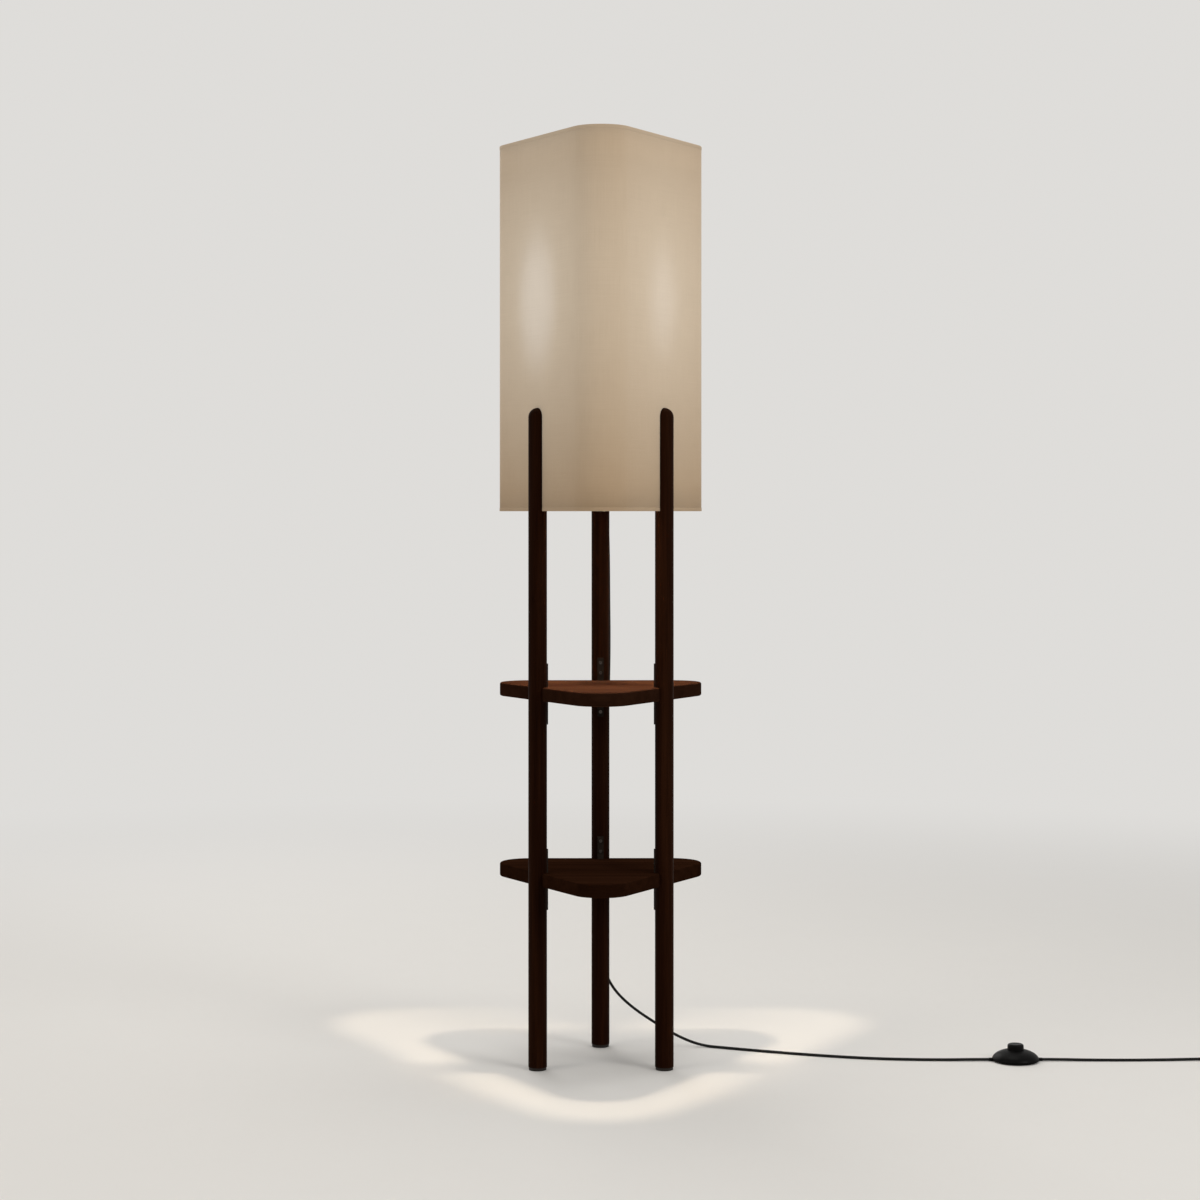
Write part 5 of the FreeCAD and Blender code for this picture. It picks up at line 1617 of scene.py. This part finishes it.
@dataclass
class Plug:
    """The flat two-pin plug at the cord's end.

    Args:
        place: Where the cord goes into it, about the lamp's axis.
        relief: Length of the tapered relief.
        relief_foot: Radius and distance of the relief's first points.
        relief_r: The relief's radius at its foot.
        flare: How much wider it is at the body.
        ring: Outset and rise of each point of one of its rings.
        rings: How many rings it has.
        ring_start: Cord's end to the first ring.
        ring_pitch: From ring to ring.
        length: The body's length.
        width: The body's width.
        thick: The body's thickness.
        taper: How far each side draws in towards the cord.
        cuts: Cuts along the body's sides.
        grip: Middle and half length of the finger grooves, from the body's middle.
        groove: Inset and depth of each finger groove.
        edge: Rounding of the body's edges.
        apart: From pin to pin.
        root: How far the pins reach into the body.
        sleeve: Radius and distance of the pins' sleeves' points.
        bare: Radius and distance of the bare pins' points up to their rounded ends.
        tip: Rounding of the pins' ends.
    """

    place: Point = (1.0864, 0.098, 0.00685)
    relief: float = 0.030
    relief_foot: Section = ((0.0, 0.0), (0.0028, 0.0), (0.0030, 0.0004))
    relief_r: float = 0.0030
    flare: float = 0.0010
    ring: Section = ((0.0, 0.0), (-0.0007, 0.0004), (-0.0007, 0.0014), (0.0, 0.0018))
    rings: int = 7
    ring_start: float = 0.0020
    ring_pitch: float = 0.0036
    length: float = 0.026
    width: float = 0.0353
    thick: float = 0.0137
    taper: float = 0.005
    cuts: int = 11
    grip: tuple[float, float] = (-0.003, 0.0075)
    groove: tuple[float, float] = (0.00035, -0.0005)
    edge: float = 0.0017
    apart: float = 0.0186
    root: float = 0.006
    sleeve: Section = ((0.0, 0.0), (0.0019, 0.0), (0.0019, 0.0158), (0.0018, 0.0160), (0.0, 0.0160))
    bare: Section = ((0.0, 0.0161), (0.0020, 0.0161), (0.0020, 0.0240))
    tip: float = 0.0010

    def build(self, coats: Coats) -> list[Piece]:
        """Makes the plug's body, relief and pins."""
        rubber = coats["plug_plastic"]
        return [self.body(rubber), self.tail(rubber), self.pins(rubber, coats["nickel_pin"])]

    def body(self, material: Material) -> Piece:
        """The body, waisted at its sides, with finger grooves.

        Args:
            material: The plug's material.

        Returns:
            The body.
        """
        mesh = bmesh.new()
        bmesh.ops.create_cube(mesh, size=1.0)
        bmesh.ops.scale(mesh, vec=(self.width, self.length, self.thick), verts=mesh.verts[:])
        lengthwise = [e for e in mesh.edges if abs((e.verts[0].co - e.verts[1].co).y) > 0.001]
        bmesh.ops.subdivide_edges(mesh, edges=lengthwise, cuts=self.cuts, use_grid_fill=True)
        for vert in mesh.verts:
            share = 0.5 - vert.co.y / self.length
            vert.co.x *= 1.0 - 2 * self.taper / self.width * share
        middle, half = self.grip
        inset, depth = self.groove
        grooves = [face for face in mesh.faces
                   if abs(face.normal.x) > 0.8 and abs(face.calc_center_median().y - middle) < half]
        thin = bmesh.ops.inset_individual(mesh, faces=grooves, thickness=inset, depth=depth)
        cut = set(thin["faces"])
        crisp = [edge for edge in mesh.edges
                 if edge.is_manifold and edge.calc_face_angle() > 1.0
                 and not set(edge.link_faces) & cut]
        bmesh.ops.bevel(mesh, geom=crisp, offset=self.edge, segments=4, profile=0.5,
                        affect="EDGES", material=-1, clamp_overlap=True)
        shift = AXIS + Vector(self.place) + (self.relief + self.length / 2) * AWAY
        bmesh.ops.translate(mesh, vec=shift, verts=mesh.verts[:])
        piece = finished("plug_moulded_body", mesh, [material], 40.0)
        return set_down(piece, ["plug_body"])

    def tail(self, material: Material) -> Piece:
        """The tapered relief, ringed so that it bends.

        Args:
            material: The plug's material.

        Returns:
            The relief.
        """
        outline = [*self.relief_foot]
        for ring in range(self.rings):
            foot = self.ring_start + ring * self.ring_pitch
            wide = self.relief_r + self.flare * foot / self.relief
            outline += [(wide + outset, foot + rise) for outset, rise in self.ring]
        outline += [(self.relief_r + self.flare, self.relief), (0.0, self.relief)]
        made = Turned("plug_ringed_relief", "plug_plastic", "plug_relief", 40)
        return made.build(outline, AXIS + Vector(self.place), material, AWAY)

    def pins(self, rubber: Material, metal: Material) -> Piece:
        """The two pins, sleeved at their roots and rounded at their ends.

        Args:
            rubber: Their sleeves' material.
            metal: Their own material.

        Returns:
            The pins.
        """
        wide, end = self.bare[-1]
        rounded = arc((wide - self.tip, end), self.tip, range(18, 91, 18))
        bare = [*self.bare, *rounded, (0.0, end + self.tip)]
        mesh = bmesh.new()
        for side in (-1.0, 1.0):
            out = Vector((side * self.apart / 2, self.relief + self.length - self.root, 0.0))
            start = AXIS + Vector(self.place) + out
            spun(mesh, self.sleeve, start, AWAY, 32)
            for face in spun(mesh, bare, start, AWAY, 32):
                face.material_index = 1
        piece = finished("plug_sleeved_pins", mesh, [rubber, metal])
        return set_down(piece, ["plug_pins"])


@dataclass
class CoilTies:
    """Two soft ties round the coil's turns.

    Args:
        middle: The coil's middle about the lamp's axis.
        inner: From there to the inner side of a tie.
        deep: Inside length of a tie across the turns.
        tall: Inside height of a tie.
        thick: The room that its wall has.
        band: Thickness of its wall, as a share of that room.
        ease: How far its line stands in at the floor and the top.
        width: Its width.
        bend: Rounding of its corners.
        soft: Rounding of its edges.
        turns: The ways that the ties face, in degrees.
    """

    middle: Point = (1.048, 0.040, 0.0)
    inner: float = 0.01575
    deep: float = 0.02405
    tall: float = 0.0104
    thick: float = 0.0008
    band: float = 0.85
    ease: float = 0.00005
    width: float = 0.0076
    bend: float = 0.0028
    soft: float = 0.00025
    turns: tuple[float, float] = (-30.0, 150.0)

    def build(self, coats: Coats) -> Piece:
        """Makes both ties as one piece.

        Args:
            coats: The lamp's materials.

        Returns:
            The ties.
        """
        mesh = bmesh.new()
        low, high = self.inner - self.thick / 2, self.inner + self.deep + self.thick / 2
        foot, top = self.thick / 2 + self.ease, self.thick * 1.5 + self.tall - self.ease
        for degrees in self.turns:
            corners = [(low, foot), (high, foot), (high, top), (low, top)]
            verts = [mesh.verts.new((x, -self.width / 2, z)) for x, z in corners]
            for first, second in zip(verts, [*verts[1:], verts[0]]):
                mesh.edges.new((first, second))
            bmesh.ops.bevel(mesh, geom=verts, offset=self.bend, segments=6, profile=0.5,
                            affect="VERTICES", material=-1)
            ring = [edge for edge in mesh.edges if edge.is_wire]
            swept = bmesh.ops.extrude_edge_only(mesh, edges=ring)
            across = [part for part in swept["geom"] if isinstance(part, bmesh.types.BMVert)]
            bmesh.ops.translate(mesh, vec=(0.0, self.width, 0.0), verts=across)
            whole = list({vert for edge in ring for vert in edge.verts} | set(across))
            turn = Matrix.Rotation(math.radians(degrees), 4, "Z")
            place = Matrix.Translation(AXIS + Vector(self.middle))
            bmesh.ops.transform(mesh, matrix=place @ turn, verts=whole)
        bmesh.ops.recalc_face_normals(mesh, faces=mesh.faces[:])
        piece = finished("coil_soft_ties", mesh, [coats["tie_cloth"]])
        thicken(piece, "band", self.thick * self.band, 0.0)
        edge = piece.modifiers.new("soft_edge", "BEVEL")
        edge.width = self.soft
        edge.segments = 2
        return set_down(piece, ["coil_ties"])


@dataclass
class CarriedOver:
    """The solids that keep their own shape and get a finish.

    Args:
        solids: Their names by finish.
    """

    solids: Mapping[str, Sequence[str]] = field(default_factory=lambda: {
        "walnut_post_back": ["post_back"],
        "walnut_post_left": ["post_front_left"],
        "walnut_post_right": ["post_front_right"],
        "walnut_shelf_upper_painted_lit": ["upper_shelf"],
        "walnut_shelf_lower_painted_shade": ["lower_shelf"],
        "bronzed_strap": [f"strap_{shelf}_{post}" for shelf in ("upper", "lower")
                          for post in ("back", "front_left", "front_right")],
        "bright_screw": ["strap_screws_upper", "strap_screws_lower", "carrier_screws",
                         "shade_screws", "clip_nails", "switch_screws", "stem_base_bolt"],
        "white_coated_wire": ["shade_bottom_ring", "shade_top_ring", "shade_carrier", "stem_base"],
        "plated_stem": ["stem_tube", "stem_locknuts"],
        "holder_plastic": ["lampholder_cap"],
        "white_ceramic": ["lampholder_insert"],
        "brass_contacts": ["lampholder_liner", "lampholder_contact"],
        "rolled_base": ["bulb_base"],
        "cord_rubber": ["cord_in_lamp"],
        "clip_plastic": ["cord_clips"],
        "pad_rubber": ["switch_pad"],
        "works_plastic": ["switch_works"],
        "spring_wire": ["switch_spring"],
        "glide_plastic": ["glide_back", "glide_front_left", "glide_front_right"],
    })

    def dress(self, nodes: Mapping[str, Piece], coats: Coats) -> None:
        """Gives each carried-over solid its material.

        Args:
            nodes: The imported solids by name.
            coats: The lamp's materials.
        """
        for finish, names in self.solids.items():
            for solid in (nodes[name] for name in names):
                if not solid.material_slots:
                    solid.data.materials.append(coats[finish])
                for slot in solid.material_slots:
                    slot.material = coats[finish]
                LOG.info("solid %s is finished in %s", solid.name, finish)


def corners(pair: tuple[Vector, Vector]) -> list[list[float]]:
    """A box's two corners as plain lists of numbers."""
    return [[float(part) for part in corner] for corner in pair]


def main() -> None:
    """Builds the whole lamp and its studio, in order."""
    logging.basicConfig(level=logging.INFO, format="%(message)s")
    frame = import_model()
    bpy.context.scene.view_settings.view_transform = "Standard"
    studio = Studio()
    studio.make_camera()
    groups = Groups()
    coats = {finish.name: finish.material(groups) for finish in FINISHES}
    cords = Cords()
    first, second = cords.build(coats)
    CarriedOver().dress(frame["nodes"], coats)
    Shade().build(coats)
    BulbAndHolder().build(coats)
    on_first, on_second = FootSwitch().build(coats)
    plug = Plug().build(coats)
    ties = CoilTies().build(coats)
    studio.make_floor()
    studio.make_world()
    for light in LIGHTS:
        light.build()


if __name__ == "__main__":
    main()
